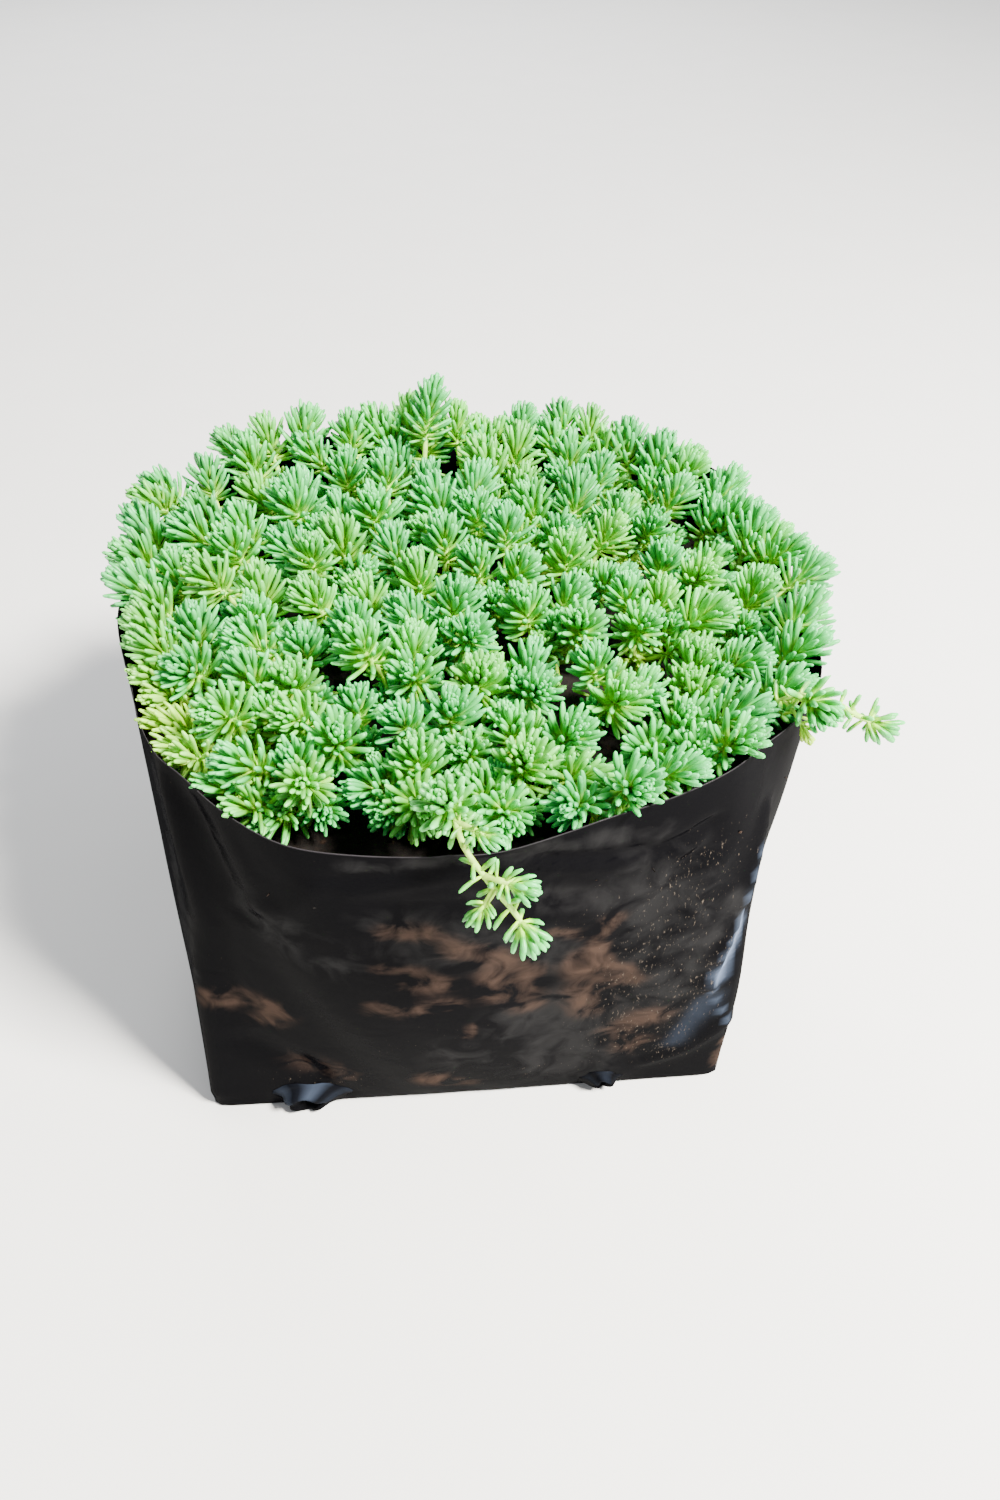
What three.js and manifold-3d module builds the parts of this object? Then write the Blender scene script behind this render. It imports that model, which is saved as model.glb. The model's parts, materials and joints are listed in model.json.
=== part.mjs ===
// A dense mat of reflexed stonecrop growing in a square-based nursery bag of black film.
// Millimetres, +Z up, origin on the bag's flat base below the middle of its mouth,
// -Y towards the viewer.

import * as THREE from "three";
import { mergeVertices } from "three/addons/utils/BufferGeometryUtils.js";
import Module from "manifold-3d";

const wasm = await Module();
wasm.setup();

// Driving dimensions of the bag. Reaches are distances from the axis at equal compass steps,
// anticlockwise from +X, seen from above.
const FILM = 1.2;
const BASE_CORNERS = [
  [76, 94],
  [-102, 81],
  [-90, -93],
  [89, -80],
];
const RIM_HEIGHT = 150;
const MOUTH_REACH = [
  104, 110, 119, 117, 116, 118, 124, 116, 109, 105, 110, 113, 107, 104, 109, 111,
];
const RIM_RISE = [1, 2, 3, 2, 1, 2, 2, 1, 1, 0, 2, 0, -2, 1, 4, 1];
const BELLY = 3;
const FOLD_DEPTH = 1.4;
const FOLDS_ROUND = 7;
const STEPS_PER_SIDE = 12;
const LOWER_LEVELS = [10, 45, 90];

// Drain holes, which pucker out of the wall just above the base, front and back
const DRAIN_HEIGHT = 6.5;
const DRAIN_RADIUS = 2.6;
const DRAIN_FOOT = 6;
const DRAIN_LIP = 3.6;
const DRAIN_STAND_OFF = 4;
const DRAIN_SIDES = 6;
const DRAIN_ANGLES = [239.5, 298, 61, 119];

// Potting mix
const SOIL_LEVEL = 128;
const CLEARANCE = 0.3;

// The mat: crowns on a triangular grid, with three shoots round each one
const CROWN_SPACING = 32;
const GRID_ROWS = 5;
const SHOOTS_PER_CROWN = 3;
const SHOOT_SPREAD = 10.4;
const CROWN_DRIFT = 1.8;
const CROWN_TURN = 24;
const ROOT_SHRINK = 0.84;
const MAT_REACH = [
  111, 105, 117, 101, 98, 105, 122, 122, 107, 99, 100, 103, 99, 103, 107, 109,
];
const EDGE_TUCK = 1.03;
const EVEN_SPACING = 18;
const SPREADING_ROUNDS = 60;
const BARE_SPOTS = [
  { x: -81, y: -62, radius: 14 },
  { x: -27, y: -103, radius: 17 },
];
const TALL_SHOOT = { x: -14, y: 92, extra: 22 };
const SHOOT_HEIGHT = 28;
const HEIGHT_SPREAD = 8;
const HIGH_SIDE_RISE = 6;
const RIM_DODGES = [
  [0, 0],
  [2, 0],
  [0, 2],
  [2, 2],
  [4, 0],
  [0, 4],
  [4, 4],
  [6, 0],
  [9, 0],
  [6, 6],
  [12, 0],
];

// One root stem, and one shoot on it
const ROOT_RADIUS = 2.3;
const ROOT_SIDES = 5;
const ROOT_DEPTH = 6;
const ROOT_STUB = 3.6;
const FORK_HEIGHT = 1.4;
const STEM_RADIUS = 1.5;
const BARE_STEP = 13;
const LEAFY_RADIUS = 1.9;
const TIP_RADIUS = 1.2;
const TURN_PER_WHORL = 43;
const BUD_LENGTH = 4.5;
// Each whorl's leaves stand at a polar angle from the stem
const WHORLS = [
  { rise: 2.8, leaves: 6, length: 10.2, polar: 90 },
  { rise: 2.8, leaves: 6, length: 11, polar: 74 },
  { rise: 2.7, leaves: 6, length: 11, polar: 56 },
  { rise: 2.6, leaves: 6, length: 9.4, polar: 34 },
];
const LEAF_ROOT_RADIUS = 2.1;
const LEAF_TIP_RADIUS = 0.1;
const LEAF_GAP = 0.35;
const FACET_SLACK = 0.5;

// Two stems trail over the rim. Each point is x, y, z, and the first stands in the soil.
const TRAILING_STEMS = [
  {
    name: "trailing_stem_front",
    route: [
      [-2, -80, 130],
      [-3, -90, 146],
      [-1, -102, 159],
      [2, -113, 158.5],
      [8, -117, 150],
      [14, -119.5, 142],
      [18, -121, 133],
    ],
    whorls: 5,
    sideShoots: [
      { at: 0.7, to: [4, -122, 142] },
      { at: 0.66, to: [18, -118, 151] },
    ],
  },
  {
    name: "trailing_stem_right",
    route: [
      [80, -48, 130],
      [84, -51, 144],
      [91, -55, 155.5],
      [101, -58, 156.5],
      [110, -58, 151],
      [119, -56, 145],
    ],
    whorls: 4,
    sideShoots: [{ at: 0.5, to: [96, -67, 160] }],
  },
];
const TRAIL_WHORL_RISE = 4.6;
const TRAIL_BERTH = 9;

const FULL_TURN = 2 * Math.PI;
const radians = THREE.MathUtils.degToRad;
const vector = (x, y, z) => new THREE.Vector3(x, y, z);

// A number from 0 to 1 that is always the same for the same index and use
function draw(index, use) {
  const s = Math.sin(index * 12.9898 + use * 78.233 + 4.1) * 43758.5453;
  return s - Math.floor(s);
}

// The value at an angle, eased between numbers given at equal compass steps
function compass(values, angle) {
  const turns = angle / FULL_TURN;
  const place = (turns - Math.floor(turns)) * values.length;
  const i = Math.floor(place) % values.length;
  const share = place - Math.floor(place);
  const eased = share * share * (3 - 2 * share);
  return values[i] * (1 - eased) + values[(i + 1) % values.length] * eased;
}

// How far the base's outline is from the axis, on the side that the angle looks at
function baseReach(angle) {
  const ahead = new THREE.Vector2(Math.cos(angle), Math.sin(angle));
  const reaches = BASE_CORNERS.map((corner, i) => {
    const from = new THREE.Vector2(...corner);
    const along = new THREE.Vector2(...BASE_CORNERS[(i + 1) % 4]).sub(from);
    const facing = ahead.cross(along);
    return facing > 1e-6 ? from.cross(along) / facing : Infinity;
  });
  return Math.min(...reaches);
}

// How far the bag's outer face is from the axis, at an angle and a height
function wallReach(angle, z) {
  const v = z / RIM_HEIGHT;
  const open = v ** 0.8;
  const slack = Math.sin(Math.PI * Math.min(v, 1));
  const fold = FOLD_DEPTH * Math.sin(FOLDS_ROUND * angle + 3 * v);
  return (
    baseReach(angle) * (1 - open) +
    compass(MOUTH_REACH, angle) * open +
    (BELLY + fold) * slack
  );
}

const rimHeight = (angle) => RIM_HEIGHT + compass(RIM_RISE, angle);

function wallPoint(angle, z, inset) {
  const reach = wallReach(angle, z) - inset;
  return vector(reach * Math.cos(angle), reach * Math.sin(angle), z);
}

// The angles at which the wall is drawn, with one at each corner of the base
const wallAngles = BASE_CORNERS.flatMap(([x, y], side) => {
  const [nextX, nextY] = BASE_CORNERS[(side + 1) % 4];
  const from = Math.atan2(y, x);
  const turn = (Math.atan2(nextY, nextX) - from + FULL_TURN) % FULL_TURN;
  return Array.from(
    { length: STEPS_PER_SIDE },
    (_, i) => from + (turn * i) / STEPS_PER_SIDE,
  );
});

// One ring of the wall: heightAt gives the height at each angle
function wallRing(heightAt, inset) {
  return wallAngles.map((angle) => wallPoint(angle, heightAt(angle), inset));
}

// A closed skin through rings of equal count, with a fan over each end
function loft(rings) {
  const count = rings[0].length;
  const middle = (ring) =>
    ring.reduce((sum, p) => sum.add(p), vector(0, 0, 0)).divideScalar(count);
  const points = [
    ...rings.flat(),
    middle(rings[0]),
    middle(rings[rings.length - 1]),
  ];
  const first = rings.length * count;
  const last = (rings.length - 1) * count;
  const faces = [];
  for (let i = 0; i < count; i++) {
    const j = (i + 1) % count;
    faces.push(first, j, i, first + 1, last + i, last + j);
    for (let row = 0; row < last; row += count) {
      faces.push(row + i, row + j, row + count + j);
      faces.push(row + i, row + count + j, row + count + i);
    }
  }
  return new THREE.BufferGeometry()
    .setFromPoints(points)
    .setIndex(faces);
}

function toSolid(geometry) {
  const bare = geometry.clone();
  bare.deleteAttribute("normal");
  bare.deleteAttribute("uv");
  const merged = mergeVertices(bare, 1e-4);
  return new wasm.Manifold(
    new wasm.Mesh({
      numProp: 3,
      vertProperties: new Float32Array(merged.attributes.position.array),
      triVerts: new Uint32Array(merged.index.array),
    }),
  );
}

function toGeometry(solid) {
  const mesh = solid.getMesh();
  return new THREE.BufferGeometry()
    .setAttribute("position", new THREE.BufferAttribute(mesh.vertProperties, 3))
    .setIndex(new THREE.BufferAttribute(mesh.triVerts, 1));
}

// A prism or taper standing on its lower end
function upright(sides, lowRadius, highRadius, x, y, low, high) {
  return new THREE.CylinderGeometry(highRadius, lowRadius, high - low, sides)
    .rotateX(Math.PI / 2)
    .translate(x, y, (low + high) / 2);
}

// A short taper that points straight out of the wall at a drain hole
function drainTaper(angle, inner, outer, innerRadius, outerRadius) {
  const reach = wallReach(angle, DRAIN_HEIGHT);
  return new THREE.CylinderGeometry(outerRadius, innerRadius, outer - inner, DRAIN_SIDES)
    .rotateX(Math.PI / 2)
    .translate(0, 0, (inner + outer) / 2)
    .applyQuaternion(
      new THREE.Quaternion().setFromUnitVectors(
        vector(0, 0, 1),
        vector(0, Math.sign(Math.sin(angle)), 0),
      ),
    )
    .translate(reach * Math.cos(angle), reach * Math.sin(angle), DRAIN_HEIGHT);
}

function makeBag() {
  const halfway = (angle) => (SOIL_LEVEL + rimHeight(angle)) / 2;
  const levels = [...LOWER_LEVELS, SOIL_LEVEL].map((z) => () => z);
  const above = (angle) => rimHeight(angle) + 1;
  const outside = [() => 0, ...levels, halfway, rimHeight].map((h) => wallRing(h, 0));
  const inside = [() => FILM, ...levels, halfway, above].map((h) => wallRing(h, FILM));
  const angles = DRAIN_ANGLES.map(radians);
  const collars = angles.map((a) => drainTaper(a, -4, DRAIN_STAND_OFF, DRAIN_FOOT, DRAIN_LIP));
  const holes = angles.map((a) =>
    drainTaper(a, -4, DRAIN_STAND_OFF + 1, DRAIN_RADIUS, DRAIN_RADIUS),
  );
  const full = wasm.Manifold.union([loft(outside), ...collars].map(toSolid));
  return full.subtract(wasm.Manifold.union([loft(inside), ...holes].map(toSolid)));
}

// The soil fills the bag to its level, with a plain hole for each root stem
function makeSoil(roots) {
  const inset = FILM + CLEARANCE;
  const levels = [FILM + CLEARANCE, ...LOWER_LEVELS, SOIL_LEVEL];
  let soil = toSolid(loft(levels.map((z) => wallRing(() => z, inset))));
  for (const { x, y } of roots) {
    const wide = ROOT_RADIUS + 0.4;
    const floor = SOIL_LEVEL - ROOT_DEPTH - CLEARANCE;
    soil = soil.subtract(
      toSolid(upright(ROOT_SIDES, wide, wide, x, y, floor, SOIL_LEVEL + 1)),
    );
  }
  return soil;
}

// Every stem and leaf that is already placed, as tapering rods, sorted into square cells
const CELL = 16;
const cells = new Map();
const cellKey = (x, y) => `${Math.floor(x / CELL)} ${Math.floor(y / CELL)}`;

function makeRod(from, to, wide, tip, owner) {
  const middle = from.clone().lerp(to, 0.5);
  return { from, to, wide, tip, middle, half: from.distanceTo(to) / 2, ...owner };
}

function keepRod(rod) {
  const key = cellKey(rod.middle.x, rod.middle.y);
  if (!cells.has(key)) cells.set(key, []);
  cells.get(key).push(rod);
}

// The gap between two tapering rods, from the closest points of their axes
function rodGap(a, b) {
  const u = b.to.clone().sub(b.from);
  const v = a.to.clone().sub(a.from);
  const w = a.from.clone().sub(b.from);
  const vv = v.dot(v);
  const uu = u.dot(u);
  const uv = u.dot(v);
  const vw = v.dot(w);
  const uw = u.dot(w);
  const clamp = (x) => Math.min(1, Math.max(0, x));
  const spread = vv * uu - uv * uv;
  let s = spread > 1e-9 ? clamp((uv * uw - vw * uu) / spread) : 0;
  const t = clamp((uv * s + uw) / uu);
  s = clamp((uv * t - vw) / vv);
  const apart = w.addScaledVector(v, s).addScaledVector(u, -t).length();
  return apart - (a.wide + (a.tip - a.wide) * s) - (b.wide + (b.tip - b.wide) * t);
}

// Whether a ball is clear of the film and of the soil
function clearOfBag(p, radius) {
  const reach = Math.hypot(p.x, p.y);
  const angle = Math.atan2(p.y, p.x);
  const wall = wallReach(angle, Math.min(p.z, rimHeight(angle)));
  const room = radius + LEAF_GAP;
  if (reach - room > wall) return true;
  if (p.z - room > rimHeight(angle)) return true;
  return reach + room < wall - FILM - FACET_SLACK && p.z - room > SOIL_LEVEL;
}

// Leaves may meet their own stem and each other at their feet, and nothing else
function rodIsClear(rod) {
  for (const share of [0.2, 0.4, 0.6, 0.8, 1]) {
    const p = rod.from.clone().lerp(rod.to, share);
    if (!clearOfBag(p, rod.wide + (rod.tip - rod.wide) * share)) return false;
  }
  for (const dx of [-CELL, 0, CELL])
    for (const dy of [-CELL, 0, CELL])
      for (const other of cells.get(cellKey(rod.middle.x + dx, rod.middle.y + dy)) ?? []) {
        if (other.stem === rod.stem && (rod.isFoot || other.isFoot || other.isStem))
          continue;
        const reach = rod.half + other.half + 3;
        if (other.middle.distanceTo(rod.middle) > reach) continue;
        if (rodGap(rod, other) < LEAF_GAP) return false;
      }
  return true;
}

// Bends a leaf clear of the others: first aside or upwards, and then shorter
function fitLeaf(seat, whorl, owner, seed) {
  const grown = 0.9 + 0.2 * draw(seed, 5);
  const own = (draw(seed, 6) - 0.5) * 12;
  for (const share of [1, 0.85, 0.7, 0.55])
    for (const lift of [0, 9, 18, -9, 27])
      for (const swing of [0, 10, -10, 20, -20]) {
        const polar = radians(whorl.polar - lift);
        const tip = seat.out
          .clone()
          .applyAxisAngle(seat.ahead, radians(swing + own))
          .multiplyScalar(Math.sin(polar))
          .addScaledVector(seat.ahead, Math.cos(polar))
          .multiplyScalar(whorl.length * share * grown)
          .add(seat.at);
        const knee = seat.at.clone().lerp(tip, 0.35);
        const kneeRadius = LEAF_ROOT_RADIUS * 0.65 + LEAF_TIP_RADIUS * 0.35;
        const foot = makeRod(seat.at, knee, LEAF_ROOT_RADIUS, kneeRadius, {
          ...owner,
          isFoot: true,
        });
        const blade = makeRod(knee, tip, kneeRadius, LEAF_TIP_RADIUS, owner);
        if (rodIsClear(foot) && rodIsClear(blade)) {
          keepRod(foot);
          keepRod(blade);
          return tip;
        }
      }
  return null;
}

// A stem of three-sided rings along a path, bare below and with whorls of leaves above.
// Between two rings lie six faces, and each leaf is raised from one of them.
class LeafyStem {
  constructor(node, path, whorls, turn, seed) {
    this.seed = seed;
    this.whorls = whorls;
    this.owner = { node, stem: `${node} ${seed}` };
    const length = path.getLength();
    const leafy = whorls.reduce((sum, w) => sum + w.rise, 0);
    this.bare = Math.max(1, Math.round((length - leafy) / BARE_STEP));
    const stops = [];
    for (let i = 0; i <= this.bare; i++) stops.push((i * (length - leafy)) / this.bare);
    for (const w of whorls) stops.push(stops[stops.length - 1] + w.rise);
    let side = vector(1, 0, 0);
    this.rings = stops.map((distance, i) => {
      const share = Math.min(1, distance / length);
      const centre = path.getPointAt(share);
      const ahead = path.getTangentAt(share);
      side = side.clone().addScaledVector(ahead, -side.dot(ahead)).normalize();
      const across = vector(0, 0, 0).crossVectors(ahead, side);
      const leafy = i > this.bare && i < stops.length - 1;
      const radius = leafy ? LEAFY_RADIUS : i > this.bare ? TIP_RADIUS : STEM_RADIUS;
      const corners = [0, 1, 2].map((k) => {
        const a = radians(turn + i * TURN_PER_WHORL + k * 120);
        return centre
          .clone()
          .addScaledVector(side, radius * Math.cos(a))
          .addScaledVector(across, radius * Math.sin(a));
      });
      return { centre, ahead, corners };
    });
    const end = this.rings[this.rings.length - 1];
    this.bud = end.centre.clone().addScaledVector(end.ahead, BUD_LENGTH);
    const joints = [...this.rings.map((ring) => ring.centre), this.bud];
    for (let i = 1; i < joints.length; i++) {
      const owner = { ...this.owner, isStem: true };
      keepRod(makeRod(joints[i - 1], joints[i], STEM_RADIUS, STEM_RADIUS, owner));
    }
    this.tips = new Map();
  }

  // The six faces above a ring, three with a level lower edge and three with an upper one
  facesAbove(index) {
    const a = this.rings[index].corners;
    const b = this.rings[index + 1].corners;
    return [0, 1, 2].flatMap((k) => {
      const n = (k + 1) % 3;
      return [
        [a[n], b[n], b[k]],
        [a[k], a[n], b[k]],
      ];
    });
  }

  // Grows the leaves of one whorl, counted from the lowest
  grow(index) {
    const whorl = this.whorls[index];
    if (!whorl) return;
    const low = this.rings[this.bare + index];
    this.facesAbove(this.bare + index).forEach((face, k) => {
      if (whorl.leaves === 3 && k % 2) return;
      const at = face[0].clone().add(face[1]).add(face[2]).divideScalar(3);
      const out = at.clone().sub(low.centre);
      out.addScaledVector(low.ahead, -out.dot(low.ahead)).normalize();
      const seed = this.seed * 31 + index * 6 + k;
      const tip = fitLeaf({ at, out, ahead: low.ahead }, whorl, this.owner, seed);
      if (tip) this.tips.set(`${this.bare + index} ${k}`, tip);
    });
  }

  // One closed skin
  geometry() {
    const first = this.rings[0].corners;
    const soup = [first[0], first[2], first[1]];
    for (let i = 0; i < this.rings.length - 1; i++)
      this.facesAbove(i).forEach((face, k) => {
        const tip = this.tips.get(`${i} ${k}`);
        if (!tip) soup.push(...face);
        else for (const j of [0, 1, 2]) soup.push(face[j], face[(j + 1) % 3], tip);
      });
    const end = this.rings[this.rings.length - 1].corners;
    for (const k of [0, 1, 2]) soup.push(end[k], end[(k + 1) % 3], this.bud);
    return new THREE.BufferGeometry().setFromPoints(soup);
  }
}

// Moves the shoots apart until they stand evenly, inside the mat's edge and off bare spots
function spreadOut(shoots) {
  const push = (tip, x, y, least) => {
    const apart = Math.max(0.01, Math.hypot(tip.x - x, tip.y - y));
    if (apart >= least) return;
    const share = (least - apart) / apart / 2;
    tip.x += (tip.x - x) * share;
    tip.y += (tip.y - y) * share;
  };
  for (let round = 0; round < SPREADING_ROUNDS; round++)
    for (const { tip } of shoots) {
      for (const other of shoots)
        if (other.tip !== tip) push(tip, other.tip.x, other.tip.y, EVEN_SPACING);
      for (const spot of BARE_SPOTS) push(tip, spot.x, spot.y, spot.radius);
      for (const { route } of TRAILING_STEMS)
        for (const [x, y] of route) push(tip, x, y, TRAIL_BERTH);
      const reach = compass(MAT_REACH, Math.atan2(tip.y, tip.x));
      tip.multiplyScalar(Math.min(1, reach / Math.hypot(tip.x, tip.y)));
    }
}

// Where the shoots' tips stand, and the crown that each one forks from
function layOutCrowns() {
  const crowns = [];
  const shoots = [];
  for (let row = -GRID_ROWS; row <= GRID_ROWS; row++)
    for (let column = -GRID_ROWS; column <= GRID_ROWS; column++) {
      const id = (row + GRID_ROWS) * (2 * GRID_ROWS + 1) + column + GRID_ROWS;
      const shift = Math.abs(row % 2) / 2;
      const x = (column + shift) * CROWN_SPACING + (draw(id, 1) - 0.5) * 2 * CROWN_DRIFT;
      const y =
        row * CROWN_SPACING * Math.sqrt(0.75) + (draw(id, 2) - 0.5) * 2 * CROWN_DRIFT;
      const crown = { shoots: [] };
      crowns.push(crown);
      for (let k = 0; k < SHOOTS_PER_CROWN; k++) {
        const seed = id * SHOOTS_PER_CROWN + k;
        const a = radians(30 + k * 120 + (draw(id, 3) - 0.5) * CROWN_TURN);
        const spread = SHOOT_SPREAD * (0.9 + 0.2 * draw(seed, 1));
        const tip = vector(x + spread * Math.cos(a), y + spread * Math.sin(a), 0);
        const edge = tip.length() / compass(MAT_REACH, Math.atan2(tip.y, tip.x));
        if (edge > EDGE_TUCK) continue;
        const shoot = { tip, seed };
        crown.shoots.push(shoot);
        shoots.push(shoot);
      }
    }
  spreadOut(shoots);
  const far = ({ tip }) => Math.hypot(tip.x - TALL_SHOOT.x, tip.y - TALL_SHOOT.y);
  const tallest = shoots.reduce((one, other) => (far(other) < far(one) ? other : one));
  for (const shoot of shoots) {
    const angle = Math.atan2(shoot.tip.y, shoot.tip.x);
    shoot.edge = shoot.tip.length() / compass(MAT_REACH, angle);
    const rise = HIGH_SIDE_RISE * Math.cos(angle - radians(135)) * shoot.edge;
    const uneven = HEIGHT_SPREAD * (draw(shoot.seed, 2) - 0.5);
    const extra = shoot === tallest ? TALL_SHOOT.extra : 0;
    shoot.tip.setZ(SOIL_LEVEL + SHOOT_HEIGHT + uneven + extra + rise);
  }
  return crowns
    .filter((crown) => crown.shoots.length)
    .map((crown) => {
      const sum = crown.shoots.reduce((total, s) => total.add(s.tip), vector(0, 0, 0));
      const root = sum.multiplyScalar(ROOT_SHRINK / crown.shoots.length);
      return { root: root.setZ(SOIL_LEVEL), shoots: crown.shoots };
    });
}

// A shoot first runs sideways and then up in the middle of the mat, and the other way at its edge
function shootPath(root, { tip, edge }) {
  const fork = root.clone().setZ(SOIL_LEVEL + FORK_HEIGHT);
  const lean = edge ** 3;
  const aside = 0.75 - 0.38 * lean;
  const up = 0.45 + 0.2 * lean;
  const bend = vector(
    fork.x + (tip.x - fork.x) * aside,
    fork.y + (tip.y - fork.y) * aside,
    fork.z + (tip.z - fork.z) * up,
  );
  return new THREE.QuadraticBezierCurve3(fork, bend, tip);
}

// Lifts a shoot at the edge, or draws it in, until its stem is clear of the rim
function clearPath(root, shoot) {
  for (const [lift, inward] of RIM_DODGES) {
    const tip = shoot.tip.clone();
    tip.multiplyScalar(1 - inward / tip.length()).setZ(shoot.tip.z + lift);
    const path = shootPath(root, { ...shoot, tip });
    const points = path.getPoints(12).slice(2);
    const ahead = path.getTangent(1);
    points.push(tip.clone().addScaledVector(ahead, BUD_LENGTH / 2));
    points.push(tip.clone().addScaledVector(ahead, BUD_LENGTH));
    if (points.every((p) => clearOfBag(p, LEAFY_RADIUS))) return path;
  }
  return shootPath(root, shoot);
}

function rootStem({ x, y }) {
  const high = SOIL_LEVEL + ROOT_STUB;
  return upright(ROOT_SIDES, ROOT_RADIUS, ROOT_RADIUS, x, y, SOIL_LEVEL - ROOT_DEPTH, high);
}

// A stem that trails over the rim, and the short side shoots on it
function trailingStems(trail, index) {
  const route = new THREE.CatmullRomCurve3(trail.route.map((p) => vector(...p)));
  const sparse = { rise: TRAIL_WHORL_RISE, leaves: 3, length: 9, polar: 58 };
  const whorls = Array.from({ length: trail.whorls }, () => sparse);
  const ends = WHORLS.slice(2);
  const seed = 900 + index * 10;
  const main = new LeafyStem(trail.name, route, [...whorls, ...ends], 20, seed);
  const sides = trail.sideShoots.map((side, i) => {
    const from = route.getPointAt(side.at);
    const to = vector(...side.to);
    const bend = from.clone().lerp(to, 0.5).add(vector(0, -1.5, 2));
    const path = new THREE.QuadraticBezierCurve3(from, bend, to);
    return new LeafyStem(trail.name, path, ends, 50 * i, seed + 1 + i);
  });
  return [main, ...sides];
}

const crowns = layOutCrowns();
const plants = [];
TRAILING_STEMS.forEach((trail, i) =>
  plants.push({
    name: trail.name,
    root: vector(...trail.route[0]),
    stems: trailingStems(trail, i),
  }),
);
crowns.forEach(({ root, shoots }, i) => {
  const name = `leafy_shoots_${String(i + 1).padStart(2, "0")}`;
  const stems = shoots.map((shoot) => {
    const turn = 360 * draw(shoot.seed, 3);
    return new LeafyStem(name, clearPath(root, shoot), WHORLS, turn, shoot.seed);
  });
  plants.push({ name, root, stems });
});

// The upper leaves are placed first, since the lower ones have more room to bend aside
const most = Math.max(...plants.flatMap((p) => p.stems.map((s) => s.whorls.length)));
for (let down = 1; down <= most; down++)
  for (const { stems } of plants)
    for (const stem of stems) stem.grow(stem.whorls.length - down);

const film = new THREE.MeshStandardMaterial({
  color: 0x17161a,
  roughness: 0.35,
  metalness: 0,
});
const mix = new THREE.MeshStandardMaterial({ color: 0x1d1511, roughness: 1, metalness: 0 });
const foliage = new THREE.MeshStandardMaterial({
  color: 0x79b56c,
  roughness: 0.55,
  metalness: 0,
});

const group = new THREE.Group();
function addNode(name, solid, material) {
  const mesh = new THREE.Mesh(toGeometry(solid), material);
  mesh.name = name;
  group.add(mesh);
}

addNode("grow_bag", makeBag(), film);
addNode("potting_mix", makeSoil(plants.map((p) => p.root)), mix);
for (const { name, root, stems } of plants) {
  const solids = [rootStem(root), ...stems.map((s) => s.geometry())].map(toSolid);
  addNode(name, wasm.Manifold.union(solids), foliage);
}

export default group;
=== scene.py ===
"""Looks for a potted reflexed stonecrop: a leafy mat in a black polythene nursery bag.

Sizes inside the classes are millimetres, as in the part's source, and each mesh is made in metres.
The frame is the part's own: +Z up, -Y towards the viewer, the origin on the bag's flat base.
"""
import json
import logging
import math
from collections.abc import Iterable, Sequence
from dataclasses import dataclass, field
from enum import Enum, IntEnum

import bmesh
import bpy
import numpy as np
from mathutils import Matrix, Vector, noise

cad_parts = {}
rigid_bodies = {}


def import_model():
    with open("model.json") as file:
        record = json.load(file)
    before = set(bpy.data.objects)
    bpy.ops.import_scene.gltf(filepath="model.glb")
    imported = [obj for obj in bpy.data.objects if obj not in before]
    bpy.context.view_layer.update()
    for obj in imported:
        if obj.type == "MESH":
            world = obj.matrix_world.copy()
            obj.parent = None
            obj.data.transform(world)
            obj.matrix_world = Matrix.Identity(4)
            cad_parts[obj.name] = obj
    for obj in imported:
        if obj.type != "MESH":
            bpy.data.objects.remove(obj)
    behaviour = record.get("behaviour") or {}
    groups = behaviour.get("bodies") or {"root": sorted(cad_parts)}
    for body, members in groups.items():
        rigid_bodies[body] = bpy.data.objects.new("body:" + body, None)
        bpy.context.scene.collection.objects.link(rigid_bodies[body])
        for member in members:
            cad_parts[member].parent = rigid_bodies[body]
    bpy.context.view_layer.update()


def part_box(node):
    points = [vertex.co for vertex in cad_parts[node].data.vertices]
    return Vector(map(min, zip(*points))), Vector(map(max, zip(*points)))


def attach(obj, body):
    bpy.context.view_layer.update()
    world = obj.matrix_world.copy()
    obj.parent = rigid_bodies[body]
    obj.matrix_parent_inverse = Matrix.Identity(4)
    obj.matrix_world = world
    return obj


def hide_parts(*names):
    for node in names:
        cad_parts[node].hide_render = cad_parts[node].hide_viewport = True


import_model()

log = logging.getLogger("stonecrop")

MM = 0.001
FULL_TURN = 2 * math.pi
GOLDEN_ANGLE = math.radians(137.508)
# Farther than anything here, and too small to divide by
FAR = 1e6
NEAR_ZERO = 1e-6

Mesh = bpy.types.Mesh
Node = bpy.types.Node
Socket = bpy.types.NodeSocket
Tree = bpy.types.NodeTree
Inputs = dict[str | int, object]
Triple = tuple[float, float, float]

# Where the random node keeps its least value, its greatest value and its result, for each kind of value
RANDOM_SOCKETS = {"FLOAT_VECTOR": (0, 1, 0), "FLOAT": (2, 3, 1), "INT": (4, 5, 2)}


class Slot(Enum):
    """The record's material slots."""

    FILM = "black_film"
    MIX = "potting_mix"
    FOLIAGE = "foliage"


class LeafBend(Enum):
    """How a leaf curves along its length: how far its tip ends up or down, as a share of its length."""

    STRAIGHT = 0.1
    INCURVED = 0.17
    UPSWEPT = 0.25
    RECURVED = 0.03


class Use(IntEnum):
    """What a repeatable draw is for, which keeps it apart from the other draws with its index."""

    ACROSS = 1
    HEIGHT = 2
    TURN = 3
    VIGOUR = 8
    YOUNG_TURN = 9
    YOUNG_VIGOUR = 10
    YOUNG_HEIGHT = 12
    SWAY_SIDE = 13
    SWAY = 14
    TINT = 15
    UNEVENNESS = 16
    CRUMB = 20


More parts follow.
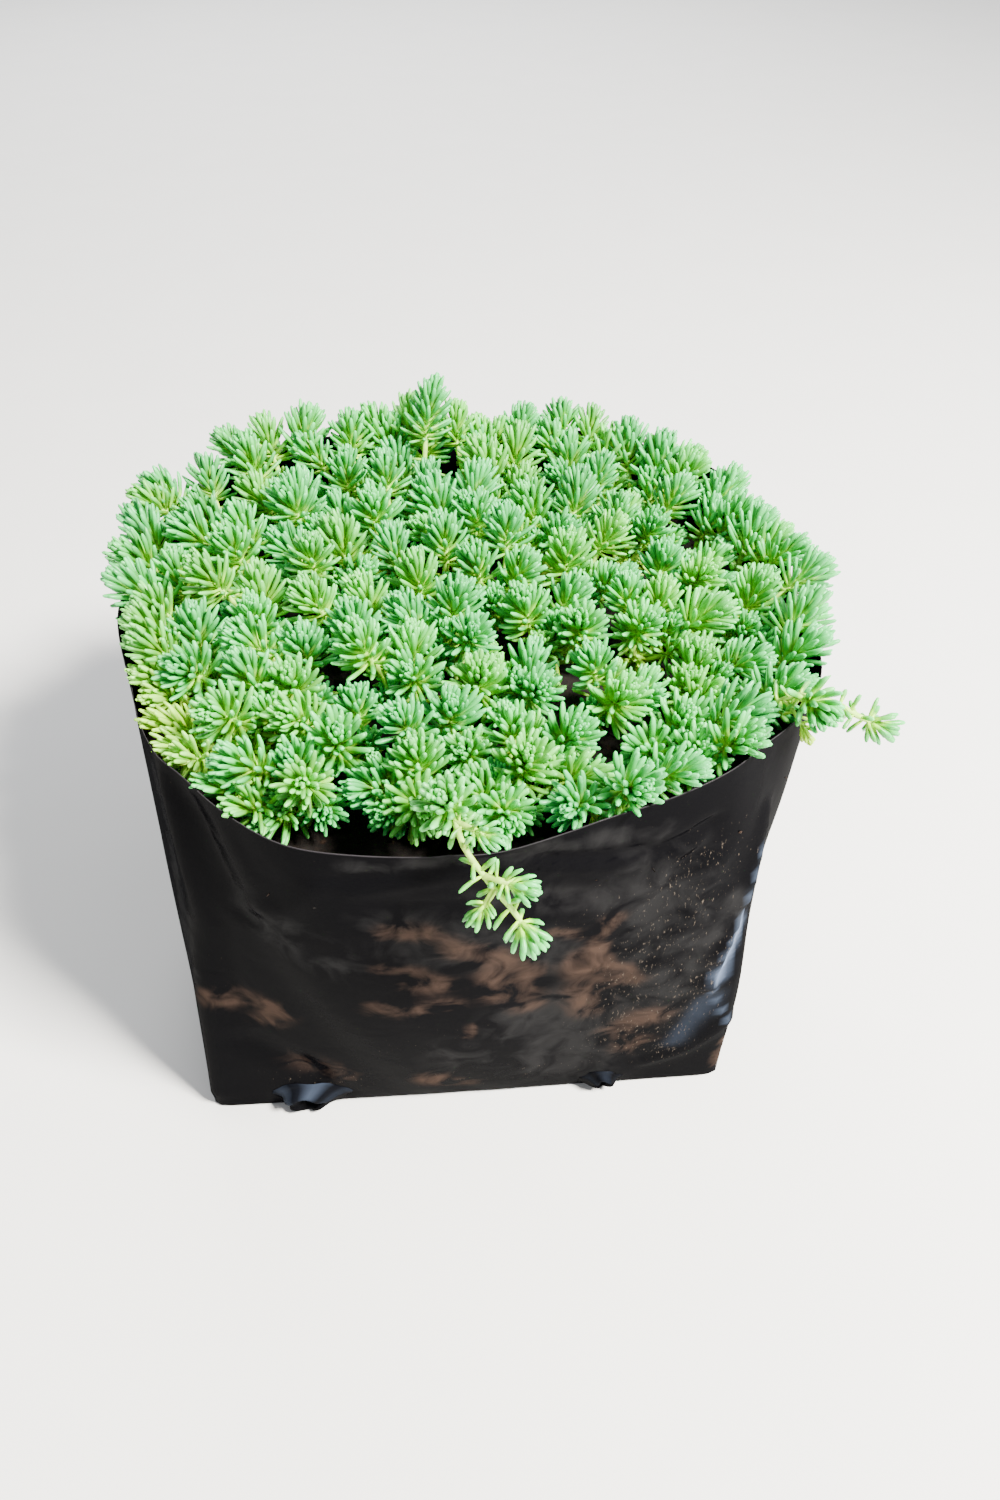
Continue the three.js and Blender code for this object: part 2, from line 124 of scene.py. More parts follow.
def hex_colour(code: str) -> tuple[float, float, float, float]:
    """Turns an sRGB hex code into a linear colour.

    Args:
        code: Six hex digits after a hash, such as "#9fd34f".

    Returns:
        Linear red, green and blue, with alpha 1.
    """
    parts = [int(code[i : i + 2], 16) / 255 for i in (1, 3, 5)]
    linear = [c / 12.92 if c <= 0.04045 else ((c + 0.055) / 1.055) ** 2.4 for c in parts]
    return (linear[0], linear[1], linear[2], 1.0)


def fill(tree: Tree, node: Node, inputs: Inputs) -> None:
    """Links or sets a node's inputs.

    Args:
        tree: The node tree.
        node: One of its nodes.
        inputs: A socket to link from, or a value, for each input by name or place.
    """
    for key, value in inputs.items():
        if isinstance(value, Socket):
            tree.links.new(value, node.inputs[key])
        else:
            node.inputs[key].default_value = value


def add_node(tree: Tree, kind: str, inputs: Inputs | None = None, **settings: object) -> Node:
    """Adds one node with its settings, values and links.

    Args:
        tree: The node tree that gets the node.
        kind: The node's type name.
        inputs: Passed to fill.
        settings: The node's own properties.

    Returns:
        The new node.
    """
    node = tree.nodes.new(kind)
    for name, value in settings.items():
        setattr(node, name, value)
    fill(tree, node, inputs or {})
    return node


def calculate(tree: Tree, operation: str, a: object, b: object = 0.0) -> Socket:
    """Adds a calculation with numbers."""
    return add_node(tree, "ShaderNodeMath", {0: a, 1: b}, operation=operation).outputs[0]


def combine(tree: Tree, operation: str, inputs: Inputs) -> Socket:
    """Adds a calculation with vectors."""
    return add_node(tree, "ShaderNodeVectorMath", inputs, operation=operation).outputs[0]


def rescale(
    tree: Tree, value: Socket, before: tuple[float, float], after: tuple[object, object] = (0.0, 1.0)
) -> Socket:
    """Maps a number from one range to another, and keeps it inside that one.

    Args:
        tree: The node tree.
        value: The number.
        before: The ends of the range that it comes from.
        after: The ends of the range that it goes to.

    Returns:
        The mapped number.
    """
    ends = dict(zip(("From Min", "From Max", "To Min", "To Max"), (*before, *after)))
    return add_node(tree, "ShaderNodeMapRange", {"Value": value, **ends}).outputs["Result"]


def random_value(tree: Tree, kind: str, least: object, most: object, seed: object) -> Socket:
    """Draws a random value for each point.

    Args:
        tree: The node tree.
        kind: FLOAT, INT or FLOAT_VECTOR.
        least: The lowest value.
        most: The highest value.
        seed: What keeps this draw apart from the others.

    Returns:
        The value's socket.
    """
    low, high, result = RANDOM_SOCKETS[kind]
    inputs = {low: least, high: most, "Seed": seed}
    return add_node(tree, "FunctionNodeRandomValue", inputs, data_type=kind).outputs[result]


def compare(tree: Tree, operation: str, a: Socket, b: object) -> Socket:
    """Adds a test of one number against another."""
    inputs = {0: a, 1: b}
    return add_node(tree, "FunctionNodeCompare", inputs, data_type="FLOAT", operation=operation).outputs[0]


def store(tree: Tree, geometry: Socket, name: str, value: object) -> Socket:
    """Adds the storing of one number for each point, which the materials read."""
    inputs = {"Geometry": geometry, "Name": name, "Value": value}
    kind = "GeometryNodeStoreNamedAttribute"
    return add_node(tree, kind, inputs, data_type="FLOAT", domain="POINT").outputs[0]


def both_true(tree: Tree, a: Socket, b: object) -> Socket:
    """Adds a test that two conditions hold."""
    return add_node(tree, "FunctionNodeBooleanMath", {0: a, 1: b}, operation="AND").outputs[0]


def trim(tree: Tree, line: Socket, start: object, end: object) -> Socket:
    """Keeps the stretch of a curve between two shares of its length."""
    return add_node(tree, "GeometryNodeTrimCurve", {0: line, 2: start, 3: end}).outputs[0]


def resample(tree: Tree, line: Socket, mode: str, amount: object) -> Socket:
    """Steps along a curve, by a number of points (COUNT) or by their distance (LENGTH)."""
    inputs = {"Curve": line, mode.title(): amount}
    return add_node(tree, "GeometryNodeResampleCurve", inputs, mode=mode).outputs[0]


def set_copies(tree: Tree, points: Socket, kinds: Socket, choice: Socket, pose: Inputs) -> Socket:
    """Sets a copy of one of several shapes on each point.

    Args:
        tree: The node tree.
        points: The points.
        kinds: The collection of shapes.
        choice: The number of the shape to take.
        pose: The copies' other inputs, such as their turn and scale.

    Returns:
        The copies.
    """
    inputs = {"Collection": kinds, "Separate Children": True}
    shapes = add_node(tree, "GeometryNodeCollectionInfo", inputs).outputs[0]
    picked = {"Points": points, "Instance": shapes, "Pick Instance": True, "Instance Index": choice}
    return add_node(tree, "GeometryNodeInstanceOnPoints", {**picked, **pose}).outputs[0]


def start_tree(name: str, kinds: dict[str, str]) -> tuple[Tree, bpy.types.NodeOutputs]:
    """Makes a Geometry Nodes tree that takes and gives geometry.

    Args:
        name: Its name.
        kinds: The kind of each further input, by the input's name.

    Returns:
        The tree, and the sockets of its inputs.
    """
    tree = bpy.data.node_groups.new(name, "GeometryNodeTree")
    for title, kind in {"Geometry": "Geometry", **kinds}.items():
        tree.interface.new_socket(title, in_out="INPUT", socket_type=f"NodeSocket{kind}")
    tree.interface.new_socket("Geometry", in_out="OUTPUT", socket_type="NodeSocketGeometry")
    return tree, add_node(tree, "NodeGroupInput").outputs


def join_parts(tree: Tree, parts: Sequence[Socket], finish: object) -> Socket:
    """Joins parts, turns copies into real geometry and gives the whole a finish.

    Args:
        tree: The node tree.
        parts: Geometry sockets.
        finish: The material, or a socket that gives it.

    Returns:
        The dressed whole.
    """
    joined = add_node(tree, "GeometryNodeJoinGeometry")
    for part in parts:
        tree.links.new(part, joined.inputs[0])
    whole = add_node(tree, "GeometryNodeRealizeInstances", {0: joined.outputs[0]}).outputs[0]
    return add_node(tree, "GeometryNodeSetMaterial", {"Geometry": whole, "Material": finish}).outputs[0]


def link_object(name: str, data: bpy.types.ID) -> bpy.types.Object:
    """Puts a mesh, a lamp or a camera into the scene as an object at the origin."""
    piece = bpy.data.objects.new(name, data)
    bpy.context.scene.collection.objects.link(piece)
    return piece


def smooth_mesh(name: str, points: Sequence[Triple] | np.ndarray, faces: Sequence[tuple[int, ...]]) -> Mesh:
    """Makes a smooth-shaded mesh in metres from points in millimetres."""
    mesh = bpy.data.meshes.new(name)
    mesh.from_pydata((np.array(points) * MM).tolist(), [], faces)
    mesh.polygons.foreach_set("use_smooth", [True] * len(mesh.polygons))
    return mesh


def settle(piece: bpy.types.Object, node: str) -> None:
    """Hands a finished piece to the frame.

    Args:
        piece: The object, at the origin.
        node: The CAD node that it stands for.
    """
    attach(piece, "root")
    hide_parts(node)
    low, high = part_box(node)
    own = [Vector(v) for v in (piece.bound_box[0], piece.bound_box[6])]
    drift = max(max(abs(a - b) for a, b in zip(*pair)) for pair in ((low, own[0]), (high, own[1])))
    log.info("%s: %d faces, box within %.1f mm", piece.name, len(piece.data.polygons), drift / MM)


def run_tree(tree: Tree, guide: bpy.types.Object, values: dict[str, object]) -> Mesh:
    """Runs Geometry Nodes on a guide and keeps the result as a plain mesh.

    Args:
        tree: The node tree.
        guide: The object that it starts from, which is removed afterwards.
        values: The tree's inputs by name.

    Returns:
        The finished mesh.
    """
    modifier = guide.modifiers.new("growth", "NODES")
    modifier.node_group = tree
    sockets = {s.name: s.identifier for s in tree.interface.items_tree if s.in_out == "INPUT"}
    for name, value in values.items():
        modifier[sockets[name]] = value
    depsgraph = bpy.context.evaluated_depsgraph_get()
    mesh = bpy.data.meshes.new_from_object(
        guide.evaluated_get(depsgraph), preserve_all_data_layers=True, depsgraph=depsgraph
    )
    spent = guide.data
    bpy.data.objects.remove(guide)
    bpy.data.meshes.remove(spent)
    return mesh


def store_floats(mesh: Mesh, name: str, values: Iterable[float]) -> None:
    """Stores one number for each point of a mesh, which its material or a node tree reads."""
    layer = mesh.attributes.new(name, "FLOAT", "POINT")
    layer.data.foreach_set("value", np.asarray(list(values), dtype=np.float32))


def draw(index: int, use: int) -> float:
    """Gives a number from 0 to 1 that is always the same for the same index and use."""
    s = math.sin(index * 12.9898 + use * 78.233 + 4.1) * 43758.5453
    return s - math.floor(s)


def compass(values: Sequence[float], angle: np.ndarray) -> np.ndarray:
    """Eases between numbers that are given at equal compass steps, anticlockwise from +X.

    Args:
        values: One number for each step.
        angle: Angles in radians.

    Returns:
        The value at each angle.
    """
    table = np.asarray(values, dtype=float)
    place = (np.asarray(angle) / FULL_TURN) % 1.0 * len(table)
    i = np.floor(place).astype(int) % len(table)
    share = place - np.floor(place)
    eased = share * share * (3 - 2 * share)
    return table[i] * (1 - eased) + table[(i + 1) % len(table)] * eased


# Finishes


def start_material(name: str) -> tuple[bpy.types.Material, Tree, Node, Socket]:
    """Makes an empty material with a shader joined to its output.

    Args:
        name: The real material's name.

    Returns:
        The material, its node tree, its Principled shader and the Object coordinates.
    """
    material = bpy.data.materials.new(name)
    material.use_nodes = True
    tree = material.node_tree
    tree.nodes.clear()
    shader = add_node(tree, "ShaderNodeBsdfPrincipled")
    add_node(tree, "ShaderNodeOutputMaterial", {"Surface": shader.outputs["BSDF"]})
    return material, tree, shader, add_node(tree, "ShaderNodeTexCoord").outputs["Object"]


def read(tree: Tree, *names: str) -> list[Socket]:
    """Reads numbers that the mesh stores."""
    return [add_node(tree, "ShaderNodeAttribute", attribute_name=name).outputs["Fac"] for name in names]


def speckle(tree: Tree, place: Socket, size: float, output: str = "Fac", **inputs: float) -> Socket:
    """Adds noise.

    Args:
        tree: The node tree.
        place: The coordinates.
        size: How wide its grains are, in millimetres.
        output: The socket to take, Fac or Color.
        inputs: The noise node's other values.

    Returns:
        The noise's socket.
    """
    values = {"Vector": place, "Scale": 1 / (size * MM), **inputs}
    return add_node(tree, "ShaderNodeTexNoise", values).outputs[output]


def layer_colours(tree: Tree, lowest: Socket | str, coats: Iterable[tuple[Socket, str]]) -> Socket:
    """Lays colours over one another.

    Args:
        tree: The node tree.
        lowest: The colour below all others, as a socket or a hex code.
        coats: How far each further colour covers what is below it, and its hex code.

    Returns:
        The mixed colour.
    """
    colour: object = hex_colour(lowest) if isinstance(lowest, str) else lowest
    for share, code in coats:
        inputs = {0: share, 6: colour, 7: hex_colour(code)}
        colour = add_node(tree, "ShaderNodeMix", inputs, data_type="RGBA").outputs[2]
    return colour


def add_bumps(tree: Tree, height: Socket, depth: float, strength: float, below: Socket | None) -> Socket:
    """Turns a height into bumps.

    Args:
        tree: The node tree.
        height: The height, from 0 to 1.
        depth: How deep the bumps are, in millimetres.
        strength: How much they show.
        below: Broader bumps that carry these, or None.

    Returns:
        The normal's socket.
    """
    inputs = {"Height": height, "Distance": depth * MM, "Strength": strength}
    if below is not None:
        inputs["Normal"] = below
    return add_node(tree, "ShaderNodeBump", inputs).outputs["Normal"]


@dataclass(frozen=True)
class BlownPolythene:
    """Low-density polythene, blown as a film and coloured with carbon black.

    To the eye it is a near-black skin with a soft waxy gloss. Wet mix has dried on it as brown smears,
    and dust sits on it as tan specks. Its colour also holds painted light: pale grey sheens, partly mixed
    with dried dust, pale blue painted reflections beside the right corner and painted highlights on the drain
    lips.
    """

    black: str = "#060608"
    haze: str = "#1c1c1d"
    smear: str = "#3c302a"
    speck: str = "#7e7266"
    scuff: str = "#7d8eac"
    edge: str = "#302e31"
    ior: float = 1.51
    gloss: float = 0.034
    dirty_gloss: float = 0.01
    smear_size: float = 11.0
    grit_spacing: float = 1.9
    grit_share: float = 1.5
    grit_jumble: float = 1.4
    dust_size: float = 0.8
    dust_lean: Triple = (0.5, 0.4, 0.3)
    dust_stretch: Triple = (1.0, 1.0, 0.38)
    crinkle_size: float = 16.0
    fine_crinkle_size: float = 2.6

    def material(self) -> bpy.types.Material:
        """Builds the film's material.

        Returns:
            A material that reads Object coordinates and the attributes for soil, dust and rim, for the pale
            haze that is partly dried dust and partly painted sheen, and for the pale blue marks: painted
            reflections and highlights, and faint ridge lines.
        """
        material, tree, shader, place = start_material("blown_polythene_film")
        soiled, dusty, haze_and_sheen_share, sheen_and_scuff_share, rim = read(tree, "soil", "dust", "haze", "scuff", "rim")
        cloud = speckle(tree, place, self.smear_size, Detail=7.0, Distortion=0.9)
        smear = self._clouded(tree, cloud, soiled)
        speck = calculate(tree, "MAXIMUM", self._grit(tree, place, dusty), self._dust(tree, place, dusty))
        # Over the black: the pale haze, partly dried dust and partly painted sheen; brown smears; the pale
        # blue painted reflections and highlights; tan specks; a paler line at the rim
        coats = (
            (self._clouded(tree, cloud, haze_and_sheen_share), self.haze),
            (smear, self.smear),
            (sheen_and_scuff_share, self.scuff),
            (speck, self.speck),
            (rim, self.edge),
        )
        # The shine is a thin clear skin over the black, and dirt dulls it
        dirt = calculate(tree, "MAXIMUM", smear, speck)
        shine = rescale(tree, dirt, (0.0, 1.0), (self.gloss, self.dirty_gloss))
        crinkle = speckle(tree, place, self.crinkle_size, Detail=1.5, Distortion=0.8)
        fine = speckle(tree, place, self.fine_crinkle_size, Detail=2.0)
        normal: Socket | None = None
        for height, depth, strength in ((crinkle, 0.8, 0.4), (fine, 0.06, 0.5), (speck, 0.2, 0.8)):
            normal = add_bumps(tree, height, depth, strength, normal)
        look: Inputs = {
            "Base Color": layer_colours(tree, self.black, coats),
            "Normal": normal,
            "Roughness": 0.6,
            "IOR": self.ior,
            "Specular IOR Level": 0.0,
            "Coat Weight": shine,
            "Coat Normal": normal,
            "Coat Roughness": 0.17,
            "Coat IOR": self.ior,
        }
        fill(tree, shader, look)
        return material

    @staticmethod
    def _clouded(tree: Tree, cloud: Socket, mask: Socket) -> Socket:
        """Lets a mask show where it and the cloud together pass a limit, so that its edge is ragged."""
        torn = rescale(tree, cloud, (0.32, 0.68))
        share = rescale(tree, calculate(tree, "ADD", mask, torn), (0.55, 1.35))
        return calculate(tree, "MULTIPLY", share, rescale(tree, mask, (0.02, 0.3)))

    def _grit(self, tree: Tree, place: Socket, mask: Socket) -> Socket:
        """Scatters single grains, in some cells of a jumbled grid and more of them where the mask is high.

        Args:
            tree: The material's nodes.
            place: Object coordinates.
            mask: How dusty each place is.

        Returns:
            The grains as a mask.
        """
        wobble = speckle(tree, place, 1.3, "Color", Detail=2.0)
        shift = combine(tree, "SCALE", {0: wobble, "Scale": self.grit_jumble * MM})
        moved = combine(tree, "ADD", {0: place, 1: shift})
        inputs = {"Vector": moved, "Scale": 1 / (self.grit_spacing * MM)}
        cells = add_node(tree, "ShaderNodeTexVoronoi", inputs).outputs
        lot = add_node(tree, "ShaderNodeSeparateColor", {"Color": cells["Color"]}).outputs
        chance = calculate(tree, "ADD", lot["Red"], mask)
        chosen = calculate(tree, "GREATER_THAN", chance, self.grit_share)
        size = rescale(tree, lot["Green"], (0.0, 1.0), (0.04, 0.24))
        within = calculate(tree, "GREATER_THAN", size, cells["Distance"])
        shade = rescale(tree, lot["Blue"], (0.0, 1.0), (0.12, 0.95))
        return calculate(tree, "MULTIPLY", calculate(tree, "MULTIPLY", chosen, within), shade)

    def _dust(self, tree: Tree, place: Socket, mask: Socket) -> Socket:
        """Draws dried dust as fine broken streaks that lean with the folds.

        Args:
            tree: The material's nodes.
            place: Object coordinates.
            mask: How dusty each place is.

        Returns:
            The streaks as a mask.
        """
        inputs = {"Vector": place, "Rotation": self.dust_lean, "Scale": self.dust_stretch}
        along = add_node(tree, "ShaderNodeMapping", inputs).outputs["Vector"]
        grain = speckle(tree, along, self.dust_size, Detail=3.0, Roughness=0.65)
        total = calculate(tree, "ADD", grain, calculate(tree, "MULTIPLY", mask, 0.3))
        return rescale(tree, total, (0.74, 0.9), (0.0, 0.5))


@dataclass(frozen=True)
class BarkMix:
    """Potting mix of composted bark and coir, watered and dark.

    To the eye it is nearly black crumb, with a few brown chips that are drier and paler.
    """

    wet: str = "#0d0907"
    dry: str = "#2e1f15"
    grain_size: float = 1.4

    def material(self) -> bpy.types.Material:
        """Builds the mix's material.

        Returns:
            A material that reads Object coordinates and the attribute tone.
        """
        material, tree, shader, place = start_material("composted_bark_and_coir")
        (tone,) = read(tree, "tone")
        grain = speckle(tree, place, self.grain_size, Detail=4.0, Roughness=0.7)
        dryness = rescale(tree, calculate(tree, "ADD", grain, tone), (0.45, 1.5))
        look: Inputs = {
            "Base Color": layer_colours(tree, self.wet, [(dryness, self.dry)]),
            "Normal": add_bumps(tree, grain, 0.6, 0.9, None),
            "Roughness": 0.9,
            "Specular IOR Level": 0.25,
        }
        fill(tree, shader, look)
        return material


@dataclass(frozen=True)
class WaxyLeaf:
    """A fleshy stonecrop leaf with a thin coat of wax.

    To the eye it is yellow-green where it joins the stem and blue-green towards its tip, where the
    wax lies thickest, with a soft shine and some light through its flesh.
    """

    foot: str = "#b8ec38"
    flesh: str = "#349420"
    bloom: str = "#4ec468"
    young: str = "#44b85c"
    old: str = "#a9d428"
    sunny: str = "#84c828"
    bluish: str = "#2a9c60"
    ior: float = 1.42
    wax_size: float = 0.9
    patch_size: float = 30.0

    def material(self) -> bpy.types.Material:
        """Builds the leaf's material.

        Returns:
            A material that reads Object coordinates and the attributes along, age, tone, pale and tint.
        """
        material, tree, shader, place = start_material("waxy_stonecrop_leaf")
        along, age, tone, pale, tint = read(tree, "along", "age", "tone", "pale", "tint")
        wax = speckle(tree, place, self.wax_size, Detail=3.0)
        patch = speckle(tree, place, self.patch_size, Detail=1.0)
        # Colours follow the leaf from its foot to its tip
        ramp = add_node(tree, "ShaderNodeValToRGB", {"Fac": along})
        stops = ramp.color_ramp.elements
        stops[0].position, stops[0].color = 0.18, hex_colour(self.foot)
        stops[1].position, stops[1].color = 0.97, hex_colour(self.bloom)
        middle = stops.new(0.52)
        middle.color = hex_colour(self.flesh)
        years = rescale(tree, age, (0.15, -0.6), (0.0, 0.7))
        coats = (
            (rescale(tree, age, (0.55, 1.0), (0.0, 0.6)), self.young),
            # Some tufts are yellower and some bluer, as their light and water have been
            (rescale(tree, tint, (0.5, 1.0), (0.0, 0.42)), self.sunny),
            (rescale(tree, tint, (0.5, 0.0), (0.0, 0.4)), self.bluish),
            (calculate(tree, "MAXIMUM", years, pale), self.old),
            (rescale(tree, wax, (0.42, 0.75), (0.0, 0.22)), self.bloom),
        )
        brightness = rescale(tree, calculate(tree, "ADD", tone, patch), (0.35, 1.4), (0.66, 1.3))
        inputs = {"Color": layer_colours(tree, ramp.outputs["Color"], coats), "Value": brightness}
        look: Inputs = {
            "Base Color": add_node(tree, "ShaderNodeHueSaturation", inputs).outputs["Color"],
            "Normal": add_bumps(tree, wax, 0.06, 0.5, None),
            "Roughness": 0.34,
            "IOR": self.ior,
            "Specular IOR Level": 0.5,
            "Subsurface Weight": 0.12,
            "Subsurface Radius": (0.6, 1.0, 0.3),
            "Subsurface Scale": 1.2 * MM,
        }
        fill(tree, shader, look)
        return material


@dataclass(frozen=True)
class FleshyStem:
    """A soft young stonecrop stem.

    To the eye it is pale yellow-green at its tip and duller, with a trace of brown, near the soil.
    """

    young: str = "#b8ec58"
    old: str = "#8fae40"
    ior: float = 1.42
    scar_spacing: float = 1.6

    def material(self) -> bpy.types.Material:
        """Builds the stem's material.

        Returns:
            A material that reads Object coordinates and the attribute age.
        """
        material, tree, shader, place = start_material("fleshy_green_stem")
        (age,) = read(tree, "age")
        scar = speckle(tree, place, self.scar_spacing, Detail=2.0)
        youth = rescale(tree, calculate(tree, "ADD", age, scar), (0.5, 1.3))
        look: Inputs = {
            "Base Color": layer_colours(tree, self.old, [(youth, self.young)]),
            "Normal": add_bumps(tree, scar, 0.2, 0.5, None),
            "Roughness": 0.45,
            "IOR": self.ior,
            "Subsurface Weight": 0.2,
            "Subsurface Radius": (0.6, 1.0, 0.3),
            "Subsurface Scale": 1.0 * MM,
        }
        fill(tree, shader, look)
        return material


@dataclass(frozen=True)
class PaintedBoard:
    """A matt white painted board, which is a plain pale floor to the eye."""

    white: str = "#f3f3f2"
    mottle: str = "#eeeeed"
    mottle_size: float = 60.0

    def material(self) -> bpy.types.Material:
        """Builds the floor's material.

        Returns:
            A material that reads Object coordinates.
        """
        material, tree, shader, place = start_material("matt_painted_board")
        cloud = speckle(tree, place, self.mottle_size)
        colour = layer_colours(tree, self.white, [(cloud, self.mottle)])
        fill(tree, shader, {"Base Color": colour, "Roughness": 0.85, "Specular IOR Level": 0.1})
        return material


# The bag


@dataclass(frozen=True)
class Crease:
    """A fold line on the wall: its route as compass degrees and heights, and its relief."""

    route: tuple[tuple[float, float], ...]
    rise: float
    width: float
    roundness: float = 1.0


@dataclass(frozen=True)
class Mark:
    """A soiled or rubbed band on the wall: its route, its half width and how strong it is."""

    route: tuple[tuple[float, float], ...]
    width: float
    strength: float


@dataclass(frozen=True)
class Drain:
    """A drain hole with a torn lip: its compass degrees, its scale and how strongly its lip gets a painted
    highlight.
    """

    bearing: float
    size: float
    glint: float


@dataclass
class GrowBag:
    """The nursery bag: one skin of film with a square flat base and a round open mouth."""

    base_corners: tuple[tuple[float, float], ...] = ((76, 94), (-102, 81), (-90, -93), (89, -80))
    rim_height: float = 150.0
    mouth_reach: tuple[float, ...] = (
        104, 110, 119, 117, 116, 118, 124, 116, 109, 105, 110, 113, 107, 104, 109, 111,
    )
    rim_rise: tuple[float, ...] = (1, 2, 3, 2, 1, 2, 2, 1, 1, 0, 2, 0, -2, 1, 4, 1)
    belly: float = 3.0
    fold_depth: float = 1.4
    ripple_depth: float = 0.35
    foot_fade: float = 8.0
    rim_fade: float = 12.0
    rim_margin: float = 4.0
    rim_relief: float = 0.3
    folds_round: int = 7
    corner_softness: float = 44.0
    foot_radius: float = 1.4
    film_thickness: float = 0.22
    rim_edge: float = 0.4
    rim_wave: float = 0.5
    columns: int = 300
    rows: int = 78
    foot_levels: tuple[float, ...] = (0.0, 0.2, 0.7, 1.5, 2.6)
    body_start: float = 4.2
    base_rings: tuple[float, ...] = (0.04, 0.16, 0.34, 0.55, 0.76, 0.92)
    gap_radius: float = 100.0
    mark_falloff: float = 2.4
    drains: tuple[Drain, ...] = (
        Drain(239.5, 1.12, 0.14), Drain(298.0, 0.72, 0.03), Drain(61.0, 0.9, 0.05), Drain(119.0, 0.9, 0.05),
    )
    drain_height: float = 6.5
    drain_cut: float = 3.6
    drain_swell: float = 1.3
    drain_swell_reach: float = 9.0
    drain_profile: tuple[tuple[float, float], ...] = (
        (8.6, 0.12), (7.0, 0.5), (5.7, 1.5), (4.8, 2.9), (4.1, 3.8), (3.4, 4.0), (2.9, 3.4),
        (2.6, 2.0), (2.5, 0.0), (2.9, -1.6),
    )
    drain_steps: int = 30
    creases: tuple[Crease, ...] = (
        # Left front corner: a long soft fold from the rim to the base, and two short ones
        Crease(((224, 150), (228, 112), (229, 100), (228, 60), (227, 8)), 1.8, 7.0),
        Crease(((231, 146), (236, 118), (238, 112)), -1.3, 8.0),
        Crease(((238, 114), (246, 122), (252, 138)), 0.9, 5.0),
        Crease(((233, 40), (240, 26), (243, 9)), -1.2, 9.0),
        # Right front corner: a ridge that runs down to a kink, with a facet on its outer side
        Crease(((321, 126), (318.5, 108), (316.8, 97), (315.5, 86), (313.2, 75), (312, 62)), 2.2, 4.5),
        Crease(((317.5, 92), (316, 78), (314.6, 64)), -1.8, 5.0),
        Crease(((312.4, 62), (314.6, 49), (317, 36)), 1.1, 3.0),
        Crease(((317, 34), (314, 26), (310.2, 19), (306, 15)), 1.2, 4.0),
        Crease(((312.5, 50), (310.5, 36)), -1.5, 7.0),
        Crease(((306, 128), (300, 96), (297, 60)), -1.1, 16.0, 2.0),
        Crease(((311, 120), (305, 96), (301, 74)), 0.9, 5.0),
        Crease(((309, 132), (302, 112), (295, 96)), -0.9, 6.0),
        # Wrinkles under the front of the rim, and the long fold below them
        Crease(((252, 139), (259, 141), (268, 143.5)), -0.9, 3.0),
        Crease(((256, 134), (266, 138.5), (276, 139)), 0.8, 3.6),
        Crease(((269, 147), (277, 145.4), (285.3, 140.7), (292, 136.5), (300.5, 133), (309, 137)), -1.5, 3.4),
        Crease(((270, 143), (279, 141), (287, 136), (296, 131), (306, 130)), 1.0, 4.0),
        Crease(((276.4, 142), (283.8, 139), (282.2, 134), (277.5, 135.5)), 0.7, 2.2),
        Crease(((262, 128), (275, 127), (292, 122)), -0.9, 7.0, 1.5),
        Crease(((258, 118), (268, 113), (279, 112), (290, 116)), 0.7, 6.0),
        # Folds at the other two corners and along the sides and back
        Crease(((51, 148), (49, 96), (51, 40), (51, 8)), 1.9, 8.0),
        Crease(((58, 140), (64, 104), (62, 70)), -1.4, 9.0),
        Crease(((141, 150), (139, 100), (141, 50), (141.5, 8)), 1.9, 8.0),
        Crease(((134, 132), (126, 96), (128, 58)), -1.5, 10.0),
        Crease(((352, 140), (358, 96), (353, 46)), -1.6, 14.0, 2.0),
        Crease(((340, 144), (348, 136), (2, 141)), -1.1, 4.0),
        Crease(((172, 146), (178, 104), (171, 52)), -1.7, 13.0, 2.0),
        Crease(((92, 116), (88, 70), (95, 28)), -1.5, 15.0, 2.0),
    )
    smears: tuple[Mark, ...] = (
        # A long brown streak across the front, with loose patches beside it
        Mark(((260, 117), (264.8, 115), (268.2, 109)), 4.2, 0.6),
        Mark(((268.2, 108), (272.3, 104), (277, 97), (281, 88)), 4.6, 0.7),
        Mark(((276, 92), (276.5, 82)), 7.0, 0.5),
        Mark(((279, 80), (281.5, 70)), 6.0, 0.5),
        Mark(((262, 92), (266, 88)), 5.0, 0.42),
        Mark(((284, 108), (289, 103)), 2.2, 0.4),
        Mark(((294, 108), (292.4, 99), (292, 91)), 3.6, 0.6),
        Mark(((290.4, 89), (293, 80), (297, 74)), 7.0, 0.62),
        Mark(((291, 72), (293, 60)), 7.0, 0.5),
        Mark(((271, 61), (270.6, 55)), 2.0, 0.5),
        Mark(((258, 100), (263, 96)), 3.0, 0.34),
        Mark(((256, 78), (262, 75), (268, 77)), 4.4, 0.4),
        Mark(((228, 62), (234, 66), (238.5, 62), (236, 56)), 5.0, 0.44),
        Mark(((304, 50), (299, 40), (302, 30)), 7.0, 0.42),
        Mark(((318, 22), (317.5, 8)), 2.4, 0.62),
        Mark(((262, 20), (270, 14)), 6.0, 0.36),
        Mark(((240, 30), (246, 22)), 7.0, 0.3),
        Mark(((12, 70), (24, 56)), 14.0, 0.32),
        Mark(((66, 78), (80, 66), (88, 70)), 9.0, 0.34),
        Mark(((156, 70), (162, 50)), 12.0, 0.32),
    )
    dustings: tuple[Mark, ...] = (
        Mark(((307, 118), (303, 92), (299, 66), (300, 36)), 20.0, 0.46),
        Mark(((314, 80), (310, 60), (308, 24)), 13.0, 0.5),
        Mark(((296, 122), (288, 110)), 10.0, 0.3),
        Mark(((296, 22), (262, 16), (238, 18)), 12.0, 0.3),
        Mark(((266, 60), (258, 48)), 14.0, 0.2),
        Mark(((350, 110), (352, 20)), 40.0, 0.36),
        Mark(((30, 90), (30, 30)), 44.0, 0.32),
        Mark(((90, 60), (130, 50)), 46.0, 0.3),
        Mark(((180, 80), (190, 30)), 44.0, 0.28),
    )
